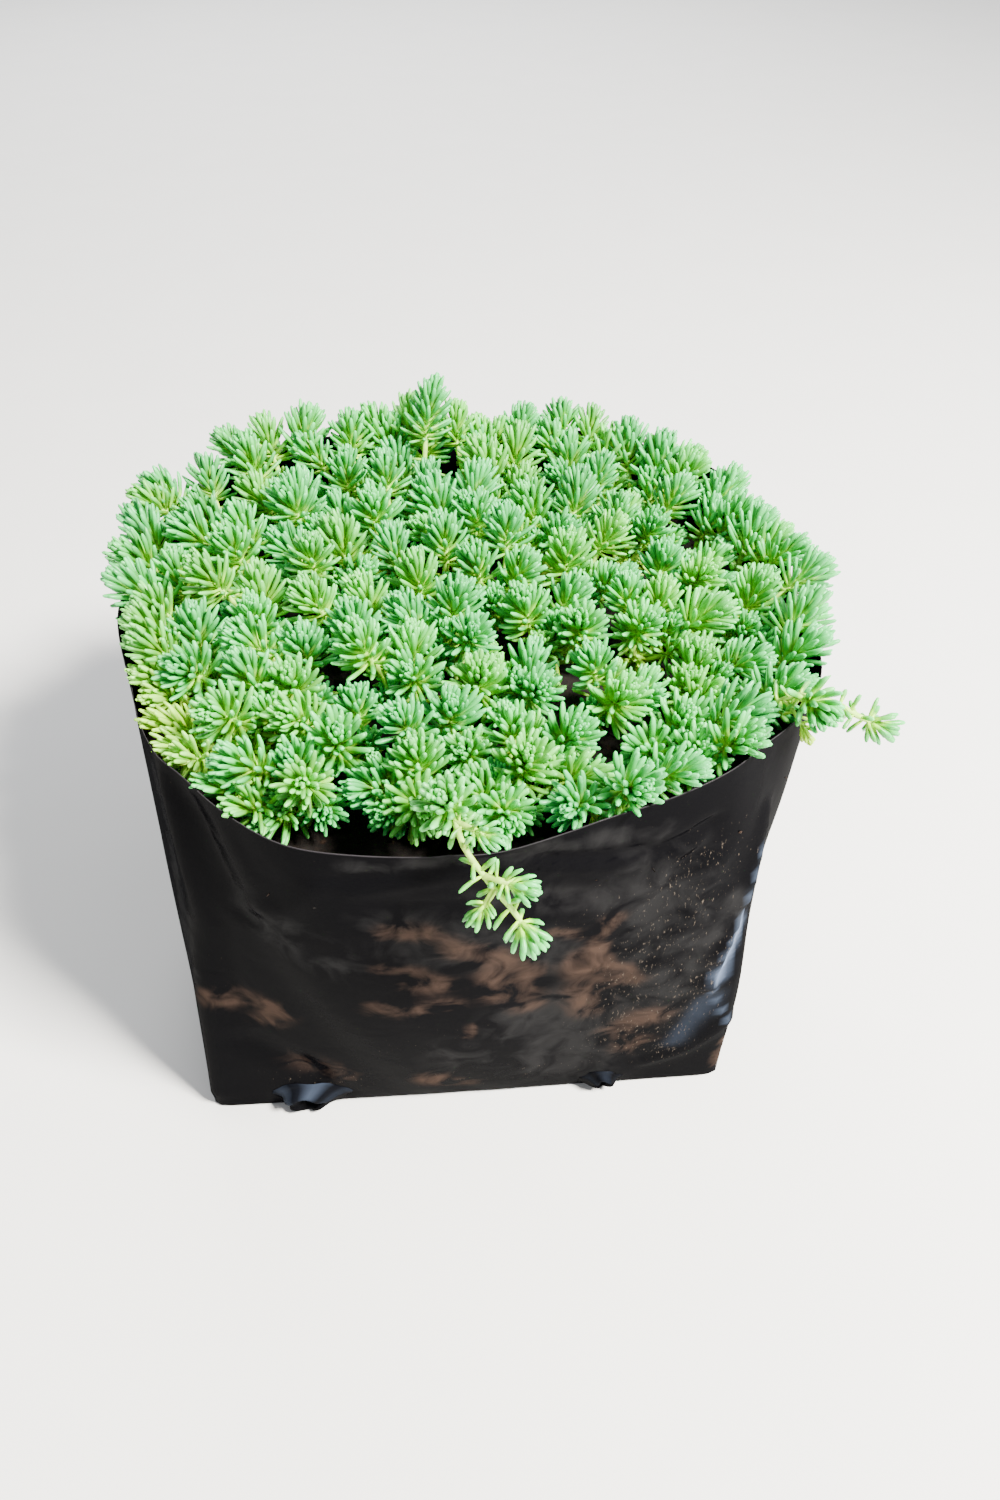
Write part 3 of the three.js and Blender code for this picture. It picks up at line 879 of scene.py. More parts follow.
    hazes_and_sheens: tuple[Mark, ...] = (
        # Pale grey zones, partly dried dust and partly painted sheen: a grey zone low at the front, the strip
        # under the rim, and a strip down the left corner fold
        Mark(((284, 58), (288, 44), (291, 26)), 17.0, 0.72),
        Mark(((264, 112), (274, 106), (284, 96)), 12.0, 0.5),
        Mark(((300, 118), (304, 90), (302, 60)), 16.0, 0.5),
        Mark(((256, 144), (270, 147), (285, 146), (300, 141)), 3.4, 0.5),
        Mark(((315, 97), (308, 84), (305, 56)), 6.0, 0.62),
        Mark(((272, 128), (284, 124), (296, 116)), 6.0, 0.42),
        Mark(((258, 122), (263, 120)), 6.0, 0.36),
        Mark(((221, 140), (223, 112), (224, 70)), 5.0, 0.8),
        Mark(((242, 112), (250, 104)), 12.0, 0.34),
        Mark(((268, 40), (276, 30)), 14.0, 0.3),
        Mark(((322, 60), (321, 20)), 4.0, 0.6),
        Mark(((0, 100), (20, 70)), 26.0, 0.24),
        Mark(((80, 100), (110, 90)), 26.0, 0.24),
        Mark(((170, 100), (185, 60)), 26.0, 0.24),
    )
    sheens_and_scuffs: tuple[Mark, ...] = (
        # Painted pale blue reflections on the smooth facets beside the right corner, and faint pale lines
        # along its ridges
        Mark(((317.2, 92), (316.6, 85)), 1.0, 0.6),
        Mark(((316.6, 85), (315.4, 76), (314.2, 68)), 1.9, 0.9),
        Mark(((314.2, 68), (314.0, 63)), 2.5, 0.5),
        Mark(((313.4, 52), (312.4, 42)), 3.6, 0.06),
        Mark(((312.0, 40), (309.6, 28)), 3.2, 0.05),
        Mark(((319.5, 116), (316.4, 96), (315.0, 85), (312.6, 74), (311.6, 64)), 0.5, 0.16),
        Mark(((312.6, 60), (317, 36)), 0.6, 0.16),
    )
    finish: BlownPolythene = field(default_factory=BlownPolythene)

    def base_reach(self, angle: np.ndarray, softness: float | None = None) -> np.ndarray:
        """Measures the base's outline from the axis.

        Args:
            angle: Compass angles in radians.
            softness: The power of a soft least value, which rounds the corners, or None.

        Returns:
            The reach at each angle.
        """
        angle = np.asarray(angle, dtype=float)
        reaches = []
        for (x, y), (next_x, next_y) in zip(
            self.base_corners, self.base_corners[1:] + self.base_corners[:1]
        ):
            facing = np.cos(angle) * (next_y - y) - np.sin(angle) * (next_x - x)
            twice_area = x * (next_y - y) - y * (next_x - x)
            reaches.append(np.where(facing > NEAR_ZERO, twice_area / np.maximum(facing, NEAR_ZERO), FAR))
        stack = np.array(reaches)
        if softness is None:
            return stack.min(axis=0)
        return (stack**-softness).sum(axis=0) ** (-1 / softness)

    def wall_reach(self, angle: np.ndarray, z: np.ndarray, softness: float | None = None) -> np.ndarray:
        """Measures the film's outer face from the axis.

        Args:
            angle: Compass angles in radians.
            z: Heights.
            softness: Passed to base_reach.

        Returns:
            The reach at each angle and height.
        """
        v = np.maximum(np.asarray(z, dtype=float), 0) / self.rim_height
        open_share = v**0.8
        slack = np.sin(np.pi * np.minimum(v, 1))
        fold = self.fold_depth * np.sin(self.folds_round * np.asarray(angle) + 3 * v)
        return (
            self.base_reach(angle, softness) * (1 - open_share)
            + compass(self.mouth_reach, angle) * open_share
            + (self.belly + fold) * slack
        )

    def rim_at(self, angle: np.ndarray) -> np.ndarray:
        """Gives the rim's height at an angle."""
        return self.rim_height + compass(self.rim_rise, angle)

    def _gap(self, bearing: np.ndarray, degrees: float) -> np.ndarray:
        """Gives the way round the wall from a bearing to others."""
        return np.radians((bearing - degrees + 180) % 360 - 180) * self.gap_radius

    def _distance(
        self, route: Sequence[tuple[float, float]], bearing: np.ndarray, z: np.ndarray
    ) -> np.ndarray:
        """Measures how far each point is from a route.

        Args:
            route: Compass degrees and heights.
            bearing: The points' compass degrees.
            z: The points' heights.

        Returns:
            Distances in millimetres.
        """
        nearest = np.full(np.shape(bearing), FAR)
        for (from_bearing, low), (to_bearing, high) in zip(route, route[1:]):
            u, w = self._gap(bearing, from_bearing), z - low
            du = float(self._gap(np.array(to_bearing), from_bearing))
            dw = high - low
            share = np.clip((u * du + w * dw) / (du * du + dw * dw), 0, 1)
            nearest = np.minimum(nearest, np.hypot(u - share * du, w - share * dw))
        return nearest

    def relief(self, angle: np.ndarray, z: np.ndarray) -> np.ndarray:
        """Adds up the folds that stand out of the wall or into it.

        Args:
            angle: Compass angles in radians.
            z: Heights.

        Returns:
            How far each point stands out.
        """
        bearing = np.degrees(angle) % 360
        total = self.ripple_depth * np.sin(23 * angle + z / 17) * np.sin(z / 29 + 5 * angle)
        for crease in self.creases:
            nearest = self._distance(crease.route, bearing, z)
            total = total + crease.rise * np.maximum(0, 1 - nearest / crease.width) ** crease.roundness
        for drain in self.drains:
            apart = np.hypot(self._gap(bearing, drain.bearing), z - self.drain_height)
            total = total + self.drain_swell * np.exp(-((apart / self.drain_swell_reach) ** 2))
        # The folds die out at the foot, where the film lies on the floor, and soften at the rim
        below_rim = (self.rim_height + self.rim_margin - z) / self.rim_fade
        return total * np.clip(z / self.foot_fade, 0, 1) * np.clip(below_rim, self.rim_relief, 1)

    def painted(self, marks: Sequence[Mark], angle: np.ndarray, z: np.ndarray) -> np.ndarray:
        """Gives how strongly each point is marked.

        Args:
            marks: The bands.
            angle: Compass angles in radians.
            z: Heights.

        Returns:
            The strongest mark at each point.
        """
        bearing = np.degrees(angle) % 360
        best = np.zeros(np.shape(angle))
        for mark in marks:
            share = self._distance(mark.route, bearing, z) / mark.width
            best = np.maximum(best, mark.strength * np.exp(-np.power(share, self.mark_falloff)))
        return best

    def wall_point(self, angle: np.ndarray, z: np.ndarray, proud: np.ndarray | float = 0.0) -> np.ndarray:
        """Places points on the film's outer face.

        Args:
            angle: Compass angles in radians.
            z: Heights.
            proud: How far the points stand out from the face.

        Returns:
            Points in millimetres, one row each.
        """
        lift = np.clip(self.foot_radius - z, 0, self.foot_radius)
        tuck = self.foot_radius - np.sqrt(self.foot_radius**2 - lift**2)
        reach = self.wall_reach(angle, z, self.corner_softness) + self.relief(angle, z) - tuck + proud
        return np.stack([reach * np.cos(angle), reach * np.sin(angle), z], axis=-1)

    def skin(self) -> Mesh:
        """Lofts the film's outer face from the middle of the base to the rim.

        Returns:
            An open shell in metres, with its soil, dust and rim marks, its pale haze of dust and painted
            sheen, and its painted reflections and lip highlights.
        """
        angles = np.arange(self.columns) * FULL_TURN / self.columns
        body = np.linspace(self.body_start, self.rim_height, self.rows - len(self.foot_levels) - 1)
        brink = self.rim_height - self.rim_edge
        levels = np.concatenate([self.foot_levels, body[:-1], [brink, self.rim_height]]) / self.rim_height
        grid_angle, grid_level = np.meshgrid(angles, levels)
        top = self.rim_at(grid_angle) + self.rim_wave * np.sin(9 * grid_angle) * np.sin(4 * grid_angle + 1)
        z = grid_level * top
        wall = self.wall_point(grid_angle, z)
        rings = [wall[0] * [share, share, 0] for share in self.base_rings]
        points = np.concatenate([np.reshape(p, (-1, 3)) for p in (np.zeros(3), *rings, *wall)])
        faces = [(0, 1 + (i + 1) % self.columns, 1 + i) for i in range(self.columns)]
        level = np.array(self.drain_height)
        cuts = [(self.wall_point(np.radians(d.bearing), level), self.drain_cut * d.size) for d in self.drains]
        for row in range(len(rings) + len(wall) - 1):
            low, high = 1 + row * self.columns, 1 + (row + 1) * self.columns
            for i in range(self.columns):
                j = (i + 1) % self.columns
                if row >= len(rings):
                    middle = (wall[row - len(rings), i] + wall[row - len(rings) + 1, j]) / 2
                    if any(np.linalg.norm(middle - cut) < radius for cut, radius in cuts):
                        continue
                faces.append((low + i, low + j, high + j, high + i))
        # The pale haze is partly painted sheen; the pale blue marks are painted reflections and faint ridge
        # lines, and the drain lips add painted highlights to them
        bands = {"soil": self.smears, "dust": self.dustings, "haze": self.hazes_and_sheens, "scuff": self.sheens_and_scuffs}
        painted = {name: self.painted(marks, grid_angle, z) for name, marks in bands.items()}
        painted["rim"] = np.clip(1 - (top - z) / self.rim_edge, 0, 1)
        base = np.zeros(1 + len(rings) * self.columns)
        stored = {name: [base, values.ravel()] for name, values in painted.items()}
        for drain in self.drains:
            collar, collar_faces, lip_highlight = self.drain_collar(drain)
            faces += [tuple(len(points) + k for k in face) for face in collar_faces]
            points = np.concatenate([points, collar])
            for name, parts in stored.items():
                parts.append(lip_highlight * (drain.glint if name == "scuff" else 0.0))
        mesh = smooth_mesh("film", points, faces)
        for name, parts in stored.items():
            store_floats(mesh, name, np.concatenate(parts))
        return mesh

    def drain_collar(self, drain: Drain) -> tuple[np.ndarray, list[tuple[int, ...]], np.ndarray]:
        """Shapes the puckered, torn lip that stands out round one drain hole.

        Args:
            drain: The hole.

        Returns:
            Its points in millimetres, its faces as places among them, and how strongly each point gets a
            painted highlight.
        """
        bearing, centre = drain.bearing, math.radians(drain.bearing)
        reach = float(self.wall_reach(np.array(centre), np.array(self.drain_height)))
        points, glints = [], []
        for ring, (radius, height) in enumerate(self.drain_profile):
            radius, height = radius * drain.size, height * drain.size
            for step in range(self.drain_steps):
                turn = FULL_TURN * step / self.drain_steps
                pucker = 1 + 0.1 * math.sin(3 * turn + bearing) + 0.06 * math.sin(7 * turn + ring * 0.3)
                across = radius * pucker * math.cos(turn) * 1.12
                up = radius * pucker * math.sin(turn) * 0.9
                z = max(0.25 + 0.05 * ring, self.drain_height + up)
                droop = 0.35 * height * (0.5 - 0.5 * math.sin(turn))
                torn = height * (1 + 0.16 * math.sin(4 * turn + bearing * 1.7))
                # The upper side of the lip gets a painted highlight, in bands round the hole
                glints.append(max(0.0, math.sin(turn)) * (0.5 + 0.5 * math.sin(5 * turn + 1)))
                level = np.array(max(0.2, z - droop))
                points.append(self.wall_point(np.array(centre + across / reach), level, torn))
        faces = []
        for ring in range(len(self.drain_profile) - 1):
            for step in range(self.drain_steps):
                after = (step + 1) % self.drain_steps
                low, high = ring * self.drain_steps, (ring + 1) * self.drain_steps
                faces.append((low + step, low + after, high + after, high + step))
        return np.array(points), faces, np.array(glints)

    def build(self) -> bpy.types.Object:
        """Makes the bag.

        Returns:
            The dressed film, with its thickness.
        """
        bag = link_object("film_bag", self.skin())
        bag.data.materials.append(self.finish.material())
        wall = bag.modifiers.new("film thickness", "SOLIDIFY")
        wall.thickness = self.film_thickness * MM
        wall.offset = -1
        settle(bag, "grow_bag")
        return bag


# The potting mix


class Crumb(Enum):
    """Kinds of crumb in the mix: length, width and thickness as shares of its size."""

    GRAIN = (1.0, 0.85, 0.7)
    CHIP = (1.7, 0.8, 0.4)
    FIBRE = (3.4, 0.28, 0.24)


@dataclass
class PottingMix:
    """The block of mix that fills the bag, with loose crumbs on its surface."""

    bag: GrowBag
    level: float = 128.0
    inset: float = 0.6
    side_inset: float = 5.0
    rings: int = 46
    columns: int = 150
    heave: float = 1.6
    crumb_size: float = 1.5
    crumbs_per_square_mm: float = 0.035
    side_levels: tuple[float, ...] = (120.0, 90.0, 45.0, 10.0, 2.2)
    seed: int = 4
    finish: BarkMix = field(default_factory=BarkMix)

    def surface(self, x: float, y: float) -> float:
        """Gives the mix's uneven height at a place."""
        broad = noise.noise(Vector((x / 21, y / 21, 3.1)))
        fine = noise.noise(Vector((x / 4.2, y / 4.2, 7.7)))
        return self.level - 0.6 + self.heave * (0.7 * broad + 0.45 * fine)

    def block(self) -> Mesh:
        """Shapes the block.

        Returns:
            A closed mesh in metres.
        """
        angles = np.arange(self.columns) * FULL_TURN / self.columns
        points: list[Triple] = [(0.0, 0.0, self.surface(0, 0))]
        edge = self.bag.wall_reach(angles, np.full(self.columns, self.level), self.bag.corner_softness)
        edge = edge + self.bag.relief(angles, np.full(self.columns, self.level)) - self.inset
        for ring in range(1, self.rings + 1):
            for angle, reach in zip(angles, edge * ring / self.rings):
                x, y = reach * math.cos(angle), reach * math.sin(angle)
                points.append((x, y, self.surface(x, y)))
        for z in self.side_levels:
            heights = np.full(self.columns, z)
            reaches = self.bag.wall_reach(angles, heights, self.bag.corner_softness) - self.side_inset
            points += [(r * math.cos(a), r * math.sin(a), z) for a, r in zip(angles, reaches)]
        last = len(points)
        points.append((0.0, 0.0, self.side_levels[-1]))
        faces = [(0, 1 + i, 1 + (i + 1) % self.columns) for i in range(self.columns)]
        for row in range(self.rings + len(self.side_levels) - 1):
            low, high = 1 + row * self.columns, 1 + (row + 1) * self.columns
            for i in range(self.columns):
                j = (i + 1) % self.columns
                faces.append((low + j, low + i, high + i, high + j))
        low = last - self.columns
        faces += [(last, low + (i + 1) % self.columns, low + i) for i in range(self.columns)]
        return smooth_mesh("mix", points, faces)

    def crumb_kinds(self) -> bpy.types.Collection:
        """Makes one small lump of each kind.

        Returns:
            A collection that the scattering tree picks from.
        """
        kinds = bpy.data.collections.new("crumb_kinds")
        for order, kind in enumerate(Crumb):
            shape = bmesh.new()
            bmesh.ops.create_icosphere(shape, subdivisions=1, radius=0.5 * self.crumb_size * MM)
            for corner in shape.verts:
                ragged = 0.8 + 0.4 * draw(corner.index, Use.CRUMB + order)
                corner.co = Vector([c * share * ragged for c, share in zip(corner.co, kind.value)])
            mesh = bpy.data.meshes.new(f"crumb_{kind.name.lower()}")
            shape.to_mesh(mesh)
            shape.free()
            kinds.objects.link(bpy.data.objects.new(mesh.name, mesh))
        return kinds

    def scatter_tree(self) -> Tree:
        """Builds the Geometry Nodes that strew crumbs over the upward faces.

        Returns:
            The node tree, with inputs for the crumbs, their density, the seed and the finish.
        """
        inputs = {"Crumb Kinds": "Collection", "Density": "Float", "Seed": "Int", "Finish": "Material"}
        tree, given = start_tree("crumb_scatter", inputs)
        normal = add_node(tree, "GeometryNodeInputNormal").outputs[0]
        upward = add_node(tree, "ShaderNodeSeparateXYZ", {0: normal}).outputs["Z"]
        ground: Inputs = {
            "Mesh": given["Geometry"],
            1: compare(tree, "GREATER_THAN", upward, 0.4),
            "Density": given["Density"],
            "Seed": given["Seed"],
        }
        spots = add_node(tree, "GeometryNodeDistributePointsOnFaces", ground).outputs["Points"]
        toned = store(tree, spots, "tone", random_value(tree, "FLOAT", -0.35, 0.85, 31))
        choice = random_value(tree, "INT", 0, len(Crumb) - 1, 32)
        tumble = random_value(tree, "FLOAT_VECTOR", (-0.5, -0.5, 0.0), (0.5, 0.5, FULL_TURN), 33)
        turned = add_node(tree, "FunctionNodeEulerToRotation", {0: tumble}).outputs[0]
        pose = {"Rotation": turned, "Scale": random_value(tree, "FLOAT", 0.45, 1.5, 34)}
        strewn = set_copies(tree, toned, given["Crumb Kinds"], choice, pose)
        dressed = join_parts(tree, [given["Geometry"], strewn], given["Finish"])
        add_node(tree, "NodeGroupOutput", {"Geometry": dressed})
        return tree

    def build(self) -> bpy.types.Object:
        """Makes the mix.

        Returns:
            The dressed block with its crumbs.
        """
        kinds = self.crumb_kinds()
        guide = link_object("mix_guide", self.block())
        values = {
            "Crumb Kinds": kinds,
            "Density": self.crumbs_per_square_mm / MM**2,
            "Seed": self.seed,
            "Finish": self.finish.material(),
        }
        mix = link_object("bark_mix", run_tree(self.scatter_tree(), guide, values))
        discard(kinds)
        settle(mix, "potting_mix")
        return mix


def discard(kinds: bpy.types.Collection) -> None:
    """Removes a collection and the shapes in it, once nothing needs them."""
    for shape in list(kinds.objects):
        mesh = shape.data
        bpy.data.objects.remove(shape)
        bpy.data.meshes.remove(mesh)
    bpy.data.collections.remove(kinds)


# The plant


@dataclass
class GuideLine:
    """The middle line of one stem, with what is the same all along it."""

    points: list[Triple]
    turn: float
    vigour: float = 1.0
    pale: float = 0.0
    tint: float = 0.5
    leafiness: float = 1.0


@dataclass
class LeafShape:
    """A needle-like leaf: round below, a little flatter above, and widest past its middle."""

    length: float = 11.4
    width: float = 1.95
    thickness: float = 1.8
    upper_flatness: float = 0.78
    sides: int = 5
    stations: tuple[tuple[float, float], ...] = ((0.0, 0.46), (0.38, 0.83), (0.78, 1.0), (0.96, 0.6))

    def mesh(self, bend: LeafBend) -> Mesh:
        """Shapes one leaf that stands along +Z and turns its upper side to +X.

        Args:
            bend: How it curves.

        Returns:
            A closed mesh in metres that stores its way from foot to tip as along.
        """
        points, along = [(0.0, 0.0, 0.0)], [0.0]
        for share, girth in self.stations:
            aside = bend.value * self.length * share**2
            for side in range(self.sides):
                turn = FULL_TURN * (side + 0.5) / self.sides
                flat = self.upper_flatness if math.cos(turn) > 0 else 1.0
                x = aside + 0.5 * self.thickness * girth * flat * math.cos(turn)
                points.append((x, 0.5 * self.width * girth * math.sin(turn), self.length * share))
                along.append(share)
        points.append((bend.value * self.length, 0.0, self.length))
        along.append(1.0)
        faces: list[tuple[int, ...]] = []
        for side in range(self.sides):
            after = (side + 1) % self.sides
            faces.append((0, 1 + after, 1 + side))
            for ring in range(len(self.stations) - 1):
                low, high = 1 + ring * self.sides, 1 + (ring + 1) * self.sides
                faces.append((low + side, low + after, high + after, high + side))
            last = 1 + (len(self.stations) - 1) * self.sides
            faces.append((last + side, last + after, len(points) - 1))
        mesh = smooth_mesh(f"leaf_{bend.name.lower()}", points, faces)
        store_floats(mesh, "along", along)
        return mesh

    def kinds(self) -> bpy.types.Collection:
        """Makes one leaf for each bend.

        Returns:
            A collection that the growing tree picks from.
        """
        kinds = bpy.data.collections.new("leaf_kinds")
        for bend in LeafBend:
            mesh = self.mesh(bend)
            kinds.objects.link(bpy.data.objects.new(mesh.name, mesh))
        return kinds


@dataclass
class ShootHabit:
    """How leaves stand on a stem, as the growing tree's named inputs. Angles are from the stem."""

    leafy_length: float = 13.0
    leaves: int = 58
    lowest_angle: float = 94.0
    highest_angle: float = 4.0
    leaf_girth: float = 1.0
    low_leaf_spacing: float = 2.2
    low_leaf_share: float = 0.8
    low_leaf_age: float = -1.0
    stem_radius: float = 1.25

    def values(self, seed: int) -> dict[str, object]:
        """Gives the tree's inputs by name.

        Args:
            seed: The seed for everything random.

        Returns:
            Lengths in metres and angles in radians.
        """
        return {
            "Leafy Length": self.leafy_length * MM,
            "Leaves": self.leaves,
            "Lowest Angle": math.radians(self.lowest_angle),
            "Highest Angle": math.radians(self.highest_angle),
            "Leaf Girth": self.leaf_girth,
            "Low Leaf Spacing": self.low_leaf_spacing * MM,
            "Low Leaf Share": self.low_leaf_share,
            "Low Leaf Age": self.low_leaf_age,
            "Stem Radius": self.stem_radius * MM,
            "Seed": seed,
        }


class GrowingTree:
    """Geometry Nodes that grow a stem and its leaves round each guide line."""

    NUMBERS = (
        "Leafy Length", "Lowest Angle", "Highest Angle", "Leaf Girth", "Low Leaf Spacing",
        "Low Leaf Share", "Low Leaf Age", "Stem Radius",
    )
    GUIDE_NUMBERS = ("turn", "vigour", "pale", "tint", "leafiness")
    ray_share = 1.08
    close_share = 0.45
    seed_step = 97.0
    kind_seed = 711.0

    def __init__(self, leaf: LeafShape, film: bpy.types.Object):
        """Builds the tree.

        Args:
            leaf: The leaf's shape.
            film: The bag, which the leaves keep clear of.
        """
        self.shapes = leaf.kinds()
        self.reach = leaf.length * MM * self.ray_share
        things = {"Leaf Kinds": "Collection", "Film": "Object", "Leaves": "Int", "Seed": "Int"}
        inputs = {**things, **dict.fromkeys(self.NUMBERS, "Float")}
        self.tree, self.given = start_tree("stonecrop_growth", inputs)
        self.things = {"Leaf Kinds": self.shapes, "Film": film}
        target = {"Object": self.given["Film"]}
        self.film = add_node(self.tree, "GeometryNodeObjectInfo", target).outputs["Geometry"]
        self._connect(WaxyLeaf().material(), FleshyStem().material())

    def _named(self, name: str) -> Socket:
        """Reads one of the guide's stored numbers."""
        return add_node(self.tree, "GeometryNodeInputNamedAttribute", {"Name": name}).outputs[0]

    def _chance(self, least: float, most: float, use: int) -> Socket:
        """Draws a random number for each leaf.

        Args:
            least: The lowest value.
            most: The highest value.
            use: What keeps this draw apart from the others.

        Returns:
            The number's socket.
        """
        seed = calculate(self.tree, "ADD", self.given["Seed"], use * self.seed_step)
        return random_value(self.tree, "FLOAT", least, most, seed)

    def _pointing(
        self, outward: Socket, polar: Socket
    ) -> tuple[Socket, Socket]:
        """Points a leaf and tests it against the film.

        Args:
            outward: The way out from the stem.
            polar: The angle from the stem.

        Returns:
            The leaf's direction, and whether the film is in its way.
        """
        tree = self.tree
        ahead = add_node(tree, "GeometryNodeInputTangent").outputs[0]
        aside = combine(tree, "SCALE", {0: outward, "Scale": calculate(tree, "SINE", polar)})
        onward = combine(tree, "SCALE", {0: ahead, "Scale": calculate(tree, "COSINE", polar)})
        way = combine(tree, "ADD", {0: aside, 1: onward})
        ray = {"Target Geometry": self.film, "Ray Direction": way, "Ray Length": self.reach}
        return way, add_node(tree, "GeometryNodeRaycast", ray).outputs["Is Hit"]

    def _leaves(
        self,
        line: Socket,
        polar: Socket,
        length: Socket,
        girth: Socket,
        shown: Socket | bool,
    ) -> Socket:
        """Sets one leaf on each point of a line, turned by the golden angle from the one before.

        Args:
            line: The curve whose points carry leaves.
            polar: The leaves' angle from the stem.
            length: The scale along the leaf.
            girth: The scale across it.
            shown: Which points carry a leaf.

        Returns:
            The leaves as instances.
        """
        tree = self.tree
        order = add_node(tree, "GeometryNodeSplineParameter").outputs["Index"]
        spiral = calculate(tree, "MULTIPLY", order, GOLDEN_ANGLE)
        turned = calculate(tree, "ADD", spiral, self._named("turn"))
        tangent = add_node(tree, "GeometryNodeInputTangent").outputs[0]
        around: Inputs = {
            "Vector": add_node(tree, "GeometryNodeInputNormal").outputs[0],
            "Axis": tangent,
            "Angle": calculate(tree, "ADD", turned, self._chance(-0.1, 0.1, 1)),
        }
        outward = add_node(tree, "ShaderNodeVectorRotate", around, rotation_type="AXIS_ANGLE").outputs[0]
        wide, wide_blocked = self._pointing(outward, polar)
        close, close_blocked = self._pointing(outward, calculate(tree, "MULTIPLY", polar, self.close_share))
        ways = {0: wide_blocked, 1: wide, 2: close}
        way = add_node(tree, "GeometryNodeSwitch", ways, input_type="VECTOR").outputs[0]
        both = both_true(tree, wide_blocked, close_blocked)
        free = add_node(tree, "FunctionNodeBooleanMath", {0: both}, operation="NOT").outputs[0]
        axes = {"primary_axis": "Z", "secondary_axis": "X"}
        facing = add_node(tree, "FunctionNodeAxesToRotation", {0: way, 1: tangent}, **axes).outputs[0]
        vigour = self._named("vigour")
        stout = calculate(tree, "MULTIPLY", girth, self.given["Leaf Girth"])
        own_girth = calculate(tree, "MULTIPLY", stout, calculate(tree, "POWER", vigour, 0.6))
        sizes = {0: own_girth, 1: own_girth, 2: calculate(tree, "MULTIPLY", length, vigour)}
        pose: Inputs = {
            "Selection": both_true(tree, free, shown),
            "Rotation": facing,
            "Scale": add_node(tree, "ShaderNodeCombineXYZ", sizes).outputs[0],
        }
        seed = calculate(tree, "ADD", self.given["Seed"], self.kind_seed)
        kind = random_value(tree, "INT", 0, len(LeafBend) - 1, seed)
        return set_copies(tree, line, self.given["Leaf Kinds"], kind, pose)

    def _ease(
        self, value: Socket, stops: Sequence[tuple[float, float]]
    ) -> Socket:
        """Runs a number from 0 to 1 through a smooth curve of stops."""
        node = add_node(self.tree, "ShaderNodeFloatCurve", {"Value": value})
        points = node.mapping.curves[0].points
        points[0].location, points[1].location = stops[0], stops[-1]
        for stop in stops[1:-1]:
            points.new(*stop)
        node.mapping.update()
        return node.outputs[0]

    def _connect(self, leaf_finish: bpy.types.Material, stem_finish: bpy.types.Material) -> None:
        """Adds the nodes from the guide lines to the dressed plant.

        Args:
            leaf_finish: The leaves' material.
            stem_finish: The stems' material.
        """
        tree, given = self.tree, self.given
        lines = add_node(tree, "GeometryNodeMeshToCurve", {0: given["Geometry"]}).outputs[0]
        length = add_node(tree, "GeometryNodeSplineLength").outputs["Length"]
        vigour = self._named("vigour")
        extent = calculate(tree, "MULTIPLY", vigour, self._named("leafiness"))
        own_leafy = calculate(tree, "MULTIPLY", given["Leafy Length"], extent)
        own_count = calculate(tree, "MULTIPLY", given["Leaves"], extent)
        leafy_share = calculate(tree, "DIVIDE", own_leafy, length)
        start = calculate(tree, "SUBTRACT", 1.0, calculate(tree, "MINIMUM", leafy_share, 0.96))
        factor = add_node(tree, "GeometryNodeSplineParameter").outputs["Factor"]

        # The tuft: crowded leaves on the last stretch of the stem, from spreading to upright
        tuft_line = resample(tree, trim(tree, lines, start, 1.0), "COUNT", own_count)
        tuft_line = store(tree, tuft_line, "age", factor)
        tuft_line = store(tree, tuft_line, "tone", self._chance(0.0, 1.0, 2))
        height = self._named("age")
        # Leaves rise quickly above the lowest ring, so that a tuft is a deep bowl
        rise = self._ease(height, ((0, 0), (0.1, 0.22), (0.35, 0.48), (0.65, 0.7), (1, 1)))
        opening = rescale(tree, rise, (0.0, 1.0), (given["Lowest Angle"], given["Highest Angle"]))
        polar = calculate(tree, "ADD", opening, self._chance(-0.1, 0.1, 3))
        size = self._ease(height, ((0, 0.78), (0.2, 0.98), (0.5, 0.96), (0.8, 0.7), (1, 0.34)))
        own_size = calculate(tree, "MULTIPLY", size, self._chance(0.88, 1.1, 4))
        girth = self._ease(height, ((0, 0.9), (0.4, 1.0), (0.75, 0.86), (1, 0.6)))
        tuft = self._leaves(tuft_line, polar, own_size, girth, True)

        # Older leaves: sparse, and drooping on the stretch below
        low_line = resample(tree, trim(tree, lines, 0.12, start), "LENGTH", given["Low Leaf Spacing"])
        way_down = calculate(tree, "SUBTRACT", 1.0, factor)
        low_line = store(tree, low_line, "age", calculate(tree, "MULTIPLY", given["Low Leaf Age"], way_down))
        low_line = store(tree, low_line, "tone", self._chance(0.0, 1.0, 5))
        present = compare(tree, "LESS_THAN", self._chance(0.0, 1.0, 6), given["Low Leaf Share"])
        forms = [self._chance(*span) for span in ((1.35, 2.15, 7), (0.6, 0.92, 8), (0.75, 1.0, 9))]
        low = self._leaves(low_line, *forms, present)

